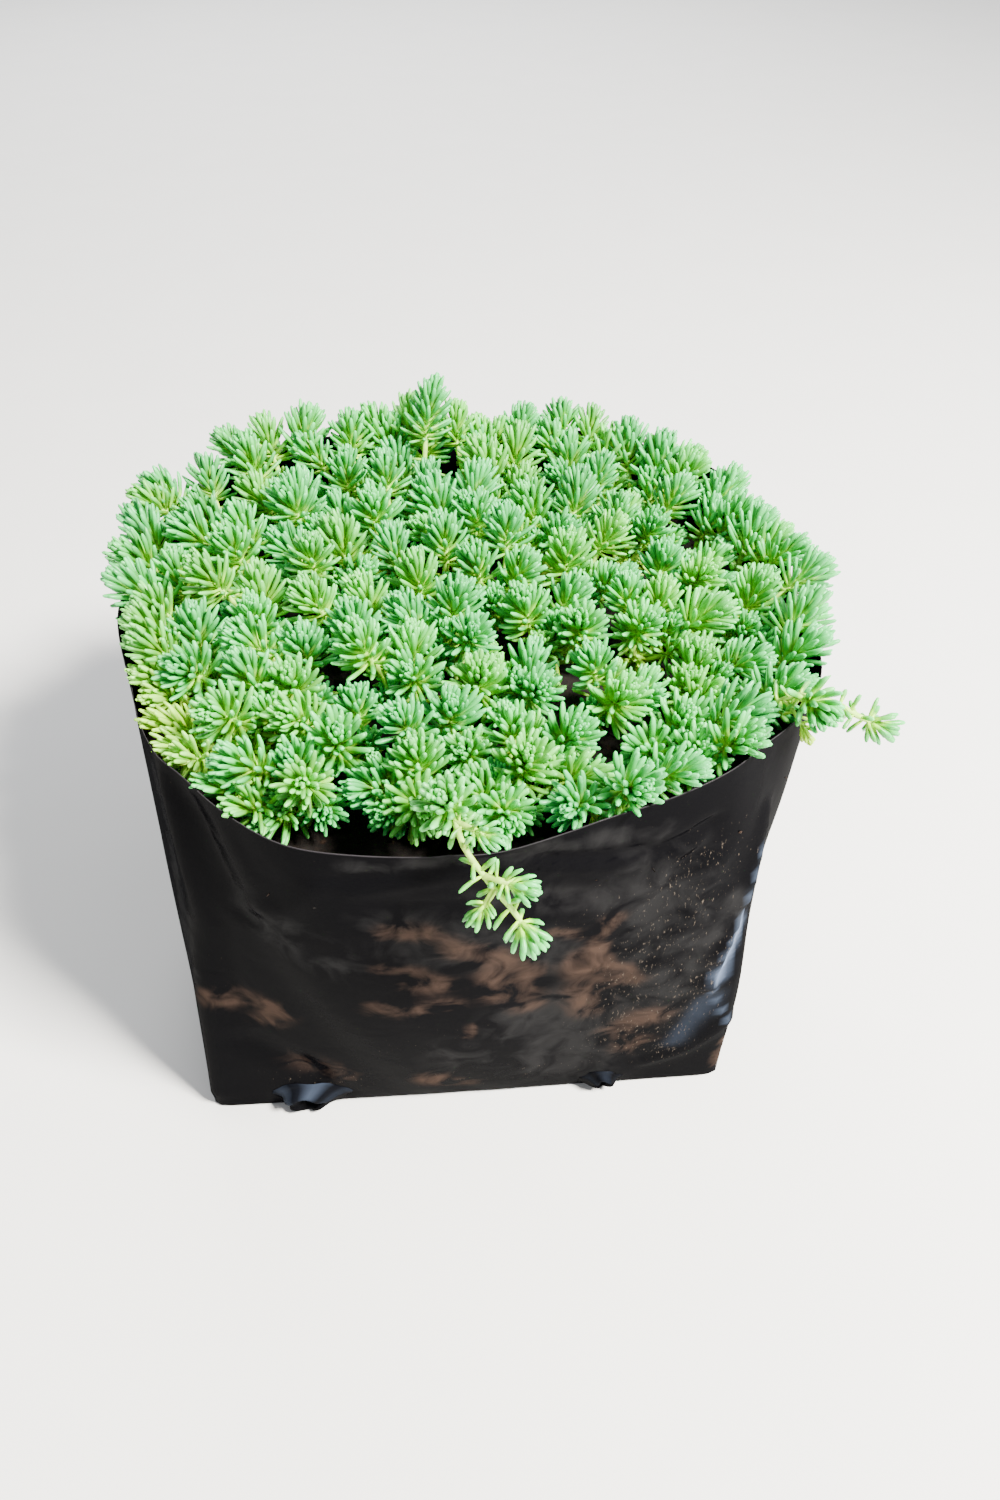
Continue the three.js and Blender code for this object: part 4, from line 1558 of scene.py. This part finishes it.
        # The stem, which thins towards its tip and swells a little at its joints
        stem_line = resample(tree, lines, "LENGTH", 2.4 * MM)
        stem_line = store(tree, store(tree, stem_line, "age", factor), "stem", 1.0)
        taper = rescale(tree, factor, (0.0, 1.0), (1.08, 0.62))
        swell = calculate(tree, "MULTIPLY", taper, self._chance(0.9, 1.1, 10))
        swell = calculate(tree, "MULTIPLY", swell, calculate(tree, "POWER", vigour, 0.7))
        circle = {"Resolution": 6, "Radius": given["Stem Radius"]}
        ring = add_node(tree, "GeometryNodeCurvePrimitiveCircle", circle).outputs[0]
        sweep = {"Curve": stem_line, "Profile Curve": ring, "Scale": swell, "Fill Caps": True}
        stem = add_node(tree, "GeometryNodeCurveToMesh", sweep).outputs[0]
        smooth = {"Geometry": stem, "Shade Smooth": True}
        stem = add_node(tree, "GeometryNodeSetShadeSmooth", smooth).outputs[0]

        leafy = join_parts(tree, [tuft, low, stem], leaf_finish)
        is_stem = compare(tree, "GREATER_THAN", self._named("stem"), 0.5)
        bark = {"Geometry": leafy, "Selection": is_stem, "Material": stem_finish}
        dressed = add_node(tree, "GeometryNodeSetMaterial", bark).outputs[0]
        add_node(tree, "NodeGroupOutput", {"Geometry": dressed})

    def grow(self, lines: Sequence[GuideLine], values: dict[str, object]) -> Mesh:
        """Grows stems and their leaves.

        Args:
            lines: The stems' middle lines, in millimetres.
            values: The habit's inputs by name.

        Returns:
            One mesh with all of them.
        """
        return run_tree(self.tree, self._guide(lines), {**self.things, **values})

    def _guide(self, lines: Sequence[GuideLine]) -> bpy.types.Object:
        """Makes the object that the tree starts from.

        Args:
            lines: The stems' middle lines, in millimetres.

        Returns:
            A mesh of open chains with each chain's numbers on its points.
        """
        points: list[Triple] = []
        edges: list[tuple[int, int]] = []
        stored: dict[str, list[float]] = {key: [] for key in self.GUIDE_NUMBERS}
        for line in lines:
            edges += [(len(points) + i, len(points) + i + 1) for i in range(len(line.points) - 1)]
            points += line.points
            for key, values in stored.items():
                values += [getattr(line, key)] * len(line.points)
        mesh = bpy.data.meshes.new("guide")
        mesh.from_pydata((np.array(points) * MM).tolist(), edges, [])
        for key, values in stored.items():
            store_floats(mesh, key, values)
        return link_object("guide", mesh)


def bezier(
    ends: tuple[np.ndarray, np.ndarray, np.ndarray], steps: int
) -> list[Triple]:
    """Steps along a curve with one bend.

    Args:
        ends: The start, the bend and the end.
        steps: How many stretches to make.

    Returns:
        The points from start to end.
    """
    start, bend, end = ends
    points = []
    for i in range(steps + 1):
        t = i / steps
        p = (1 - t) ** 2 * start + 2 * t * (1 - t) * bend + t * t * end
        points.append((float(p[0]), float(p[1]), float(p[2])))
    return points


@dataclass
class Shoot:
    """One shoot of the mat: where its tip stands, how near the edge, and how far down its leaves reach."""

    tip: np.ndarray
    seed: int
    edge: float = 0.0
    leafiness: float = 1.0


@dataclass
class ShootMat:
    """The mat of shoots, laid out by the rule of the part's source so that each crown keeps its place."""

    bag: GrowBag
    tree: GrowingTree
    soil_level: float = 128.0
    film_allowance: float = 1.2
    crown_spacing: float = 32.0
    shoots_per_crown: int = 3
    shoot_spread: float = 10.4
    crown_drift: float = 1.8
    crown_turn: float = 24.0
    root_shrink: float = 0.84
    mat_reach: tuple[float, ...] = (
        111, 105, 117, 101, 98, 105, 122, 122, 107, 99, 100, 103, 99, 103, 107, 109,
    )
    edge_tuck: float = 1.03
    even_spacing: float = 18.0
    spreading_rounds: int = 60
    bare_spots: tuple[Triple, ...] = ((-81, -62, 14), (-27, -103, 17))
    tall_shoot: Triple = (-14, 92, 22)
    shoot_height: float = 28.0
    height_spread: float = 8.0
    high_side_rise: float = 6.0
    high_side: float = 135.0
    rim_dodges: tuple[tuple[float, float], ...] = (
        (0, 0), (2, 0), (0, 2), (2, 2), (4, 0), (0, 4), (4, 4), (6, 0), (9, 0), (6, 6), (12, 0),
    )
    trail_berth: float = 9.0
    fork_height: float = 1.4
    root_depth: float = 4.0
    leafy_radius: float = 1.9
    leaf_gap: float = 0.35
    facet_slack: float = 0.5
    bud_length: float = 4.5
    rows: int = 5
    line_steps: int = 14
    young_height: float = 17.0
    young_height_spread: float = 6.0
    young_vigour: float = 0.72
    least_vigour: float = 0.88
    vigour_spread: float = 0.28
    young_reach: float = 0.97
    pale_spot: tuple[float, float] = (-84, -60)
    pale_reach: float = 30.0
    palest: float = 0.85
    sway: float = 6.5
    sway_edge: float = 0.9
    tall_leafiness: float = 1.5
    unevenness: float = 9.0
    mean_drop: float = 0.55
    widest_gap: float = 9.5
    front_side: float = -0.35
    filler_reach: float = 0.98
    filler_rise: float = 1.5
    filler_drop: float = 6.0
    filler_seed: int = 5000
    extra_seed: int = 5100
    gap_seed: int = 5200
    filler_room: float = 11.4
    filler_rings: int = 14
    filler_steps: int = 60
    set_back: tuple[Triple, ...] = ((258.0, 20.0, 7.0), (216.0, 15.0, 10.0))
    set_back_edge: float = 0.8
    drooping: tuple[Triple, ...] = (
        (-88, -49, 150), (-85, -60, 149), (-80, -69, 149), (-75, -76, 150), (-92, -40, 151),
        (-79, -69, 143), (-66, -85, 149), (-57, -93, 149), (-51, -88, 142),
    )
    drooping_vigour: float = 1.35
    at_back: tuple[Triple, ...] = (
        (-22, 97, 168), (-6, 95, 167), (2, 98, 160), (-30, 92, 163), (45, 100, 162), (58, 91, 161),
        (70, 82, 160), (81, 71, 159), (34, 104, 163), (90, 58, 158), (20, 101, 162),
    )
    habit: ShootHabit = field(default_factory=ShootHabit)

    def _clear_of_bag(self, p: np.ndarray) -> bool:
        """Tests whether a stem's point is clear of the film and of the soil."""
        reach = math.hypot(p[0], p[1])
        angle = np.array(math.atan2(p[1], p[0]))
        rim = float(self.bag.rim_at(angle))
        wall = float(self.bag.wall_reach(angle, np.array(min(p[2], rim))))
        room = self.leafy_radius + self.leaf_gap
        if reach - room > wall or p[2] - room > rim:
            return True
        inside = reach + room < wall - self.film_allowance - self.facet_slack
        return inside and p[2] - room > self.soil_level

    def _push(self, tip: np.ndarray, x: float, y: float, least: float) -> None:
        """Moves a tip half of what it lacks to a least distance from a place."""
        apart = max(0.01, math.hypot(tip[0] - x, tip[1] - y))
        if apart < least:
            share = (least - apart) / apart / 2
            tip[0] += (tip[0] - x) * share
            tip[1] += (tip[1] - y) * share

    def _spread_out(self, shoots: Sequence[Shoot], trails: Sequence[tuple[float, float]]) -> None:
        """Moves the shoots apart until they stand evenly.

        Args:
            shoots: All shoots of the mat.
            trails: Places on the trailing stems, which keep a berth.
        """
        for _ in range(self.spreading_rounds):
            for shoot in shoots:
                tip = shoot.tip
                for other in shoots:
                    if other is not shoot:
                        self._push(tip, other.tip[0], other.tip[1], self.even_spacing)
                for x, y, radius in self.bare_spots:
                    self._push(tip, x, y, radius)
                for x, y in trails:
                    self._push(tip, x, y, self.trail_berth)
                reach = self._reach(math.atan2(tip[1], tip[0]))
                tip[:2] *= min(1, reach / math.hypot(tip[0], tip[1]))

    def _reach(self, angle: float) -> float:
        """Gives the mat's reach at an angle."""
        return float(compass(self.mat_reach, np.array(angle)))

    def _edge(self, tip: np.ndarray) -> float:
        """Gives a tip's distance from the axis as a share of the mat's reach."""
        return math.hypot(tip[0], tip[1]) / self._reach(math.atan2(tip[1], tip[0]))

    @staticmethod
    def _nearest(crowns: Sequence[tuple[np.ndarray, list[Shoot]]], tip: Sequence[float]) -> int:
        """Finds the crown whose root is nearest to a tip, seen from above."""
        return min(range(len(crowns)), key=lambda i: math.dist(crowns[i][0][:2], tip[:2]))

    def crowns(self, trails: Sequence[tuple[float, float]]) -> list[tuple[np.ndarray, list[Shoot]]]:
        """Lays out the mat.

        Args:
            trails: Places on the trailing stems.

        Returns:
            Each crown's root and its shoots, in the order of the CAD nodes.
        """
        crowns: list[list[Shoot]] = []
        for row in range(-self.rows, self.rows + 1):
            for column in range(-self.rows, self.rows + 1):
                crown = (row + self.rows) * (2 * self.rows + 1) + column + self.rows
                x = (column + abs(row % 2) / 2) * self.crown_spacing
                x += (draw(crown, Use.ACROSS) - 0.5) * 2 * self.crown_drift
                y = row * self.crown_spacing * math.sqrt(0.75)
                y += (draw(crown, Use.HEIGHT) - 0.5) * 2 * self.crown_drift
                own = []
                for k in range(self.shoots_per_crown):
                    seed = crown * self.shoots_per_crown + k
                    a = math.radians(30 + k * 120 + (draw(crown, Use.TURN) - 0.5) * self.crown_turn)
                    spread = self.shoot_spread * (0.9 + 0.2 * draw(seed, Use.ACROSS))
                    tip = np.array([x + spread * math.cos(a), y + spread * math.sin(a), 0.0])
                    if self._edge(tip) <= self.edge_tuck:
                        own.append(Shoot(tip, seed))
                crowns.append(own)
        shoots = [shoot for own in crowns for shoot in own]
        self._spread_out(shoots, trails)
        tall_x, tall_y, extra = self.tall_shoot
        tallest = min(shoots, key=lambda s: math.hypot(s.tip[0] - tall_x, s.tip[1] - tall_y))
        for shoot in shoots:
            angle = math.atan2(shoot.tip[1], shoot.tip[0])
            shoot.edge = self._edge(shoot.tip)
            rise = self.high_side_rise * math.cos(angle - math.radians(self.high_side)) * shoot.edge
            uneven = self.height_spread * (draw(shoot.seed, Use.HEIGHT) - 0.5)
            own_extra = extra if shoot is tallest else 0.0
            shoot.leafiness = self.tall_leafiness if shoot is tallest else 1.0
            shoot.tip[2] = self.soil_level + self.shoot_height + uneven + own_extra + rise
        laid_out = []
        for own in filter(None, crowns):
            root = sum(s.tip for s in own) * (self.root_shrink / len(own))
            root[2] = self.soil_level
            laid_out.append((root, own))
        return laid_out

    def _path(self, root: np.ndarray, tip: np.ndarray, edge: float) -> tuple[np.ndarray, ...]:
        """Gives a shoot's start, bend and end.

        Args:
            root: Where its crown stands.
            tip: Where it ends.
            edge: How near the mat's edge it is.

        Returns:
            The three points.
        """
        fork = np.array([root[0], root[1], self.soil_level + self.fork_height])
        lean = edge**3
        share = np.array([0.75 - 0.38 * lean, 0.75 - 0.38 * lean, 0.45 + 0.2 * lean])
        return fork, fork + (tip - fork) * share, tip

    def _clear_path(self, root: np.ndarray, shoot: Shoot) -> tuple[np.ndarray, ...]:
        """Lifts a shoot at the edge, or draws it in, until its stem is clear of the rim.

        Args:
            root: Where its crown stands.
            shoot: The shoot.

        Returns:
            Its start, bend and end.
        """
        for lift, inward in self.rim_dodges:
            tip = shoot.tip.copy()
            tip[:2] *= 1 - inward / float(np.linalg.norm(shoot.tip))
            tip[2] = shoot.tip[2] + lift
            path = self._path(root, tip, shoot.edge)
            points = [np.array(p) for p in bezier(path, 12)[2:]]
            ahead = (path[2] - path[1]) / np.linalg.norm(path[2] - path[1])
            points += [tip + ahead * self.bud_length / 2, tip + ahead * self.bud_length]
            if all(self._clear_of_bag(p) for p in points):
                return path
        return self._path(root, shoot.tip, shoot.edge)

    def _swayed(self, path: tuple[np.ndarray, ...], shoot: Shoot) -> tuple[np.ndarray, ...]:
        """Leans a shoot's tuft to a side of its own, where it is far enough from the rim.

        Args:
            path: Its start, bend and end.
            shoot: The shoot.

        Returns:
            The path with its bend moved aside.
        """
        if shoot.edge > self.sway_edge:
            return path
        side = FULL_TURN * draw(shoot.seed, Use.SWAY_SIDE)
        far = self.sway * math.sqrt(draw(shoot.seed, Use.SWAY))
        return path[0], path[1] + np.array([far * math.cos(side), far * math.sin(side), 0.0]), path[2]

    def _own_height(self, shoot: Shoot) -> None:
        """Makes the mat's middle uneven, and draws its edge back where the film's inside shows."""
        if shoot.edge < self.sway_edge:
            shoot.tip[2] += self.unevenness * (draw(shoot.seed, Use.UNEVENNESS) - self.mean_drop)
        for bearing, half_width, inward in self.set_back:
            off = math.degrees(math.atan2(shoot.tip[1], shoot.tip[0])) - bearing
            near = max(0.0, 1 - abs((off + 180) % 360 - 180) / half_width)
            if shoot.edge > self.set_back_edge and near:
                shoot.tip[:2] *= 1 - inward * math.sqrt(near) / math.hypot(shoot.tip[0], shoot.tip[1])

    def _fill_edge(self, crowns: Sequence[tuple[np.ndarray, list[Shoot]]]) -> int:
        """Adds a shoot wherever two neighbours on the mat's edge stand too far apart.

        Args:
            crowns: Each crown's root and its shoots, which get the new ones.

        Returns:
            How many shoots were added.
        """
        outer = [shoot for _, own in crowns for shoot in own if shoot.edge > self.sway_edge]
        ring = [(math.atan2(shoot.tip[1], shoot.tip[0]), shoot) for shoot in outer]
        ring.sort(key=lambda pair: pair[0])
        added = 0
        for (angle, one), (after, other) in zip(ring, [*ring[1:], ring[0]]):
            gap = (after - angle) % FULL_TURN
            middle = angle + gap / 2
            if math.degrees(gap) < self.widest_gap or math.sin(middle) < self.front_side:
                continue
            reach = self._reach(middle) * self.filler_reach
            height = (one.tip[2] + other.tip[2]) / 2 + self.filler_rise
            tip = np.array([reach * math.cos(middle), reach * math.sin(middle), height])
            new = Shoot(tip, self.filler_seed + added, self.filler_reach)
            crowns[self._nearest(crowns, tip)][1].append(new)
            added += 1
        return added

    def _fill_gaps(
        self, crowns: Sequence[tuple[np.ndarray, list[Shoot]]], trails: Sequence[tuple[float, float]]
    ) -> int:
        """Adds a shoot wherever the mat has room for one.

        Args:
            crowns: Each crown's root and its shoots, which get the new ones.
            trails: Places on the trailing stems, which keep a berth.

        Returns:
            How many shoots were added.
        """
        taken = [(s.tip[0], s.tip[1], self.filler_room) for _, own in crowns for s in own]
        taken += [*self.bare_spots, *((x, y, self.trail_berth) for x, y in trails)]
        added = 0
        for ring in np.linspace(self.filler_reach, 0.0, self.filler_rings):
            for step in range(self.filler_steps):
                angle = FULL_TURN * step / self.filler_steps
                reach = self._reach(angle) * ring
                x, y = reach * math.cos(angle), reach * math.sin(angle)
                if any(math.hypot(x - px, y - py) < room for px, py, room in taken):
                    continue
                seed = self.gap_seed + added
                height = self.soil_level + self.shoot_height - self.filler_drop * draw(seed, Use.HEIGHT)
                new = Shoot(np.array([x, y, height]), seed, float(ring))
                crowns[self._nearest(crowns, (x, y))][1].append(new)
                taken.append((x, y, self.filler_room))
                added += 1
        return added

    def _young_shoots(self, shoots: Sequence[Shoot]) -> list[Shoot]:
        """Finds room for small low shoots between a crown's own shoots and beside them.

        Args:
            shoots: The crown's shoots.

        Returns:
            The young shoots that stand inside the wall.
        """
        if len(shoots) < 2:
            return []
        middle = sum(s.tip for s in shoots) / len(shoots)
        young = []
        for k, (one, other) in enumerate(zip(shoots, [*shoots[1:], shoots[0]])):
            between = (one.tip + other.tip) / 2
            spots = [between + (between - middle)] if len(shoots) == 3 else [between]
            if k == 0 and len(shoots) == 3:
                spots.append(middle)
            for spot in spots:
                seed = one.seed * 7 + k * 3 + len(young)
                tip = np.array([spot[0], spot[1], 0.0])
                uneven = self.young_height_spread * (draw(seed, Use.YOUNG_HEIGHT) - 0.5)
                tip[2] = self.soil_level + (self.young_height + uneven)
                edge = self._edge(tip)
                if edge < self.young_reach and self._clear_of_bag(tip):
                    young.append(Shoot(tip, seed, edge))
        return young

    def build(self, trails: Sequence[tuple[float, float]]) -> list[bpy.types.Object]:
        """Grows the mat.

        Args:
            trails: Places on the trailing stems.

        Returns:
            One piece for each crown's CAD node.
        """
        pieces = []
        crowns = self.crowns(trails)
        for _, shoots in crowns:
            for shoot in shoots:
                self._own_height(shoot)
        young = [self._young_shoots(shoots) for _, shoots in crowns]
        added = self._fill_edge(crowns) + self._fill_gaps(crowns, trails)
        log.info("mat: %d shoots added where there was room", added)
        for order, (x, y, z) in enumerate([*self.drooping, *self.at_back]):
            shoot = Shoot(np.array([x, y, z], dtype=float), self.extra_seed + order, self.sway_edge)
            near = self._nearest(crowns, shoot.tip)
            if order < len(self.drooping):
                shoot.leafiness = self.drooping_vigour
                young[near].append(shoot)
            else:
                crowns[near][1].append(shoot)
        for number, ((root, shoots), small) in enumerate(zip(crowns, young), start=1):
            foot = (float(root[0]), float(root[1]), self.soil_level - self.root_depth)
            lines = []
            for shoot in shoots:
                path = self._swayed(self._clear_path(root, shoot), shoot)
                points = bezier(path, self.line_steps)
                turn = FULL_TURN * draw(shoot.seed, Use.TURN)
                vigour = self.least_vigour + self.vigour_spread * draw(shoot.seed, Use.VIGOUR)
                tint = draw(shoot.seed, Use.TINT)
                lines.append(GuideLine([foot, *points], turn, vigour, 0.0, tint, shoot.leafiness))
            for shoot in small:
                points = bezier(self._path(root, shoot.tip, shoot.edge), self.line_steps // 2)
                turn = FULL_TURN * draw(shoot.seed, Use.YOUNG_TURN)
                far = math.dist(shoot.tip[:2], self.pale_spot)
                pale = self.palest * max(0.0, 1 - far / self.pale_reach) ** 0.5
                own = 0.85 + 0.3 * draw(shoot.seed, Use.YOUNG_VIGOUR)
                vigour = self.young_vigour * shoot.leafiness * own
                tint = draw(shoot.seed, Use.TINT)
                lines.append(GuideLine([foot, *points], turn, vigour, pale, tint))
            name = f"{number:02d}"
            piece = link_object(f"shoots_{name}", self.tree.grow(lines, self.habit.values(number)))
            settle(piece, f"leafy_shoots_{name}")
            pieces.append(piece)
        return pieces


@dataclass
class TrailingStem:
    """A stem that trails over the rim, with its side shoots."""

    name: str
    node: str
    route: tuple[Triple, ...]
    side_shoots: tuple[tuple[float, Triple, float, float], ...]
    seed: int
    vigour: float = 0.7
    steps_between: int = 5
    habit: ShootHabit = field(
        default_factory=lambda: ShootHabit(
            leafy_length=10.5, leaves=46, lowest_angle=84.0, leaf_girth=1.2, low_leaf_spacing=1.4,
            low_leaf_age=-0.1, stem_radius=1.4,
        )
    )

    def line(self) -> list[np.ndarray]:
        """Runs a smooth line through the route's points.

        Returns:
            The line's points in millimetres.
        """
        marks = [np.array(p, dtype=float) for p in self.route]
        marks = [2 * marks[0] - marks[1], *marks, 2 * marks[-1] - marks[-2]]
        points = []
        for a, b, c, d in zip(marks, marks[1:], marks[2:], marks[3:]):
            for i in range(self.steps_between):
                t = i / self.steps_between
                bent = (2 * a - 5 * b + 4 * c - d) * t * t + (3 * b - a - 3 * c + d) * t**3
                points.append(0.5 * (2 * b + (c - a) * t + bent))
        points.append(marks[-2])
        return points

    def places(self) -> list[tuple[float, float]]:
        """Gives the route's places seen from above, which the mat keeps clear of."""
        return [(x, y) for x, y, _ in self.route]

    def build(self, tree: GrowingTree) -> None:
        """Grows the stem.

        Args:
            tree: The growing tree.
        """
        main = self.line()
        steps = np.cumsum([0.0] + [float(np.linalg.norm(b - a)) for a, b in zip(main, main[1:])])
        lines = [GuideLine([(p[0], p[1], p[2]) for p in main], 0.4, self.vigour)]
        for order, (share, end, vigour, pale) in enumerate(self.side_shoots):
            at = int(np.searchsorted(steps, share * steps[-1]))
            start, tip = main[at], np.array(end, dtype=float)
            bend = (start + tip) / 2 + np.array([0.0, -1.5, 2.0])
            lines.append(GuideLine(bezier((start, bend, tip), 8), 1.0 + order, vigour, pale))
        stem = link_object(self.name, tree.grow(lines, self.habit.values(self.seed)))
        settle(stem, self.node)


# The studio


@dataclass
class Studio:
    """The floor, the lights and the camera of the photograph."""

    floor_half: float = 3.0
    floor_drop: float = 0.0003
    camera_at: Triple = (0.0105, -0.284, 0.349)
    camera_tilt: float = 47.0
    lens: float = 26.0
    sensor: float = 36.0
    sky: str = "#f4f6fa"
    sky_strength: float = 0.56
    finish: PaintedBoard = field(default_factory=PaintedBoard)

    def floor(self) -> None:
        """Lays the floor."""
        h, z = self.floor_half, -self.floor_drop
        mesh = bpy.data.meshes.new("floor")
        mesh.from_pydata([(-h, -h, z), (h, -h, z), (h, h, z), (-h, h, z)], [], [(0, 1, 2, 3)])
        mesh.materials.append(self.finish.material())
        link_object("floor", mesh)

    def light(
        self,
        name: str,
        at: Triple,
        watts: float,
        size: float,
        colour: str,
        aim: Triple = (0.0, 0.0, 0.1),
    ) -> None:
        """Hangs one soft square light.

        Args:
            name: Its name.
            at: Its place in metres.
            watts: Its power.
            size: Its width in metres.
            colour: Its tint.
            aim: The place that it faces.
        """
        lamp = bpy.data.lights.new(name, "AREA")
        lamp.energy, lamp.size, lamp.color = watts, size, hex_colour(colour)[:3]
        holder = link_object(name, lamp)
        holder.location = at
        holder.rotation_euler = (Vector(aim) - Vector(at)).to_track_quat("-Z", "Y").to_euler()

    def camera(self) -> None:
        """Sets up the camera of the photograph."""
        camera = bpy.data.cameras.new("camera")
        camera.sensor_fit = "VERTICAL"
        camera.sensor_height = self.sensor
        camera.lens = self.lens
        camera.clip_start = 0.01
        holder = link_object("camera", camera)
        holder.location = self.camera_at
        holder.rotation_euler = (math.radians(self.camera_tilt), 0.0, 0.0)
        bpy.context.scene.camera = holder

    def world(self) -> None:
        """Fills the room with plain pale light."""
        world = bpy.data.worlds.new("studio")
        world.use_nodes = True
        light = {"Color": hex_colour(self.sky), "Strength": self.sky_strength}
        fill(world.node_tree, world.node_tree.nodes["Background"], light)
        bpy.context.scene.world = world

    def build(self) -> None:
        """Sets up everything round the object."""
        self.camera()
        self.world()
        self.floor()
        self.light("key", (0.75, -0.45, 1.15), 122.0, 0.28, "#fffaf0")
        self.light("window", (1.0, 0.3, 0.4), 2.0, 0.4, "#dfe8ff")
        self.light("backdrop", (-0.3, 1.8, 1.6), 46.0, 0.9, "#ffffff", (0.0, 1.3, 0.0))


def main() -> None:
    """Builds the object and reports each piece."""
    logging.basicConfig(level=logging.INFO, format="%(name)s: %(message)s")
    Studio().build()
    bag = GrowBag()
    film = bag.build()
    PottingMix(bag).build()
    tree = GrowingTree(LeafShape(), film)
    front = TrailingStem(
        "trailing_stem_over_front",
        "trailing_stem_front",
        (
            (-2, -80, 130), (-3, -90, 146), (-1, -102, 159), (2, -113, 158.5), (8, -117, 150),
            (14, -119.5, 142), (18, -121, 133),
        ),
        (
            (0.76, (5, -121, 142), 0.5, 0.1), (0.7, (17, -119, 150), 0.56, 0.0),
            (0.4, (-3, -105, 166), 0.95, 0.1), (0.5, (9, -112, 160), 0.5, 0.0),
        ),
        901,
    )
    right = TrailingStem(
        "trailing_stem_over_right",
        "trailing_stem_right",
        (
            (80, -48, 130), (84, -51, 144), (91, -55, 155.5), (101, -58, 156.5), (110, -58, 151),
            (119, -56, 145),
        ),
        ((0.5, (96, -67, 160), 0.85, 0.0), (0.42, (95, -64, 149), 0.4, 1.0)),
        902,
    )
    for stem in (front, right):
        stem.build(tree)
    ShootMat(bag, tree).build([*front.places(), *right.places()])
    discard(tree.shapes)
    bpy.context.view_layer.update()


if __name__ == "__main__":
    main()
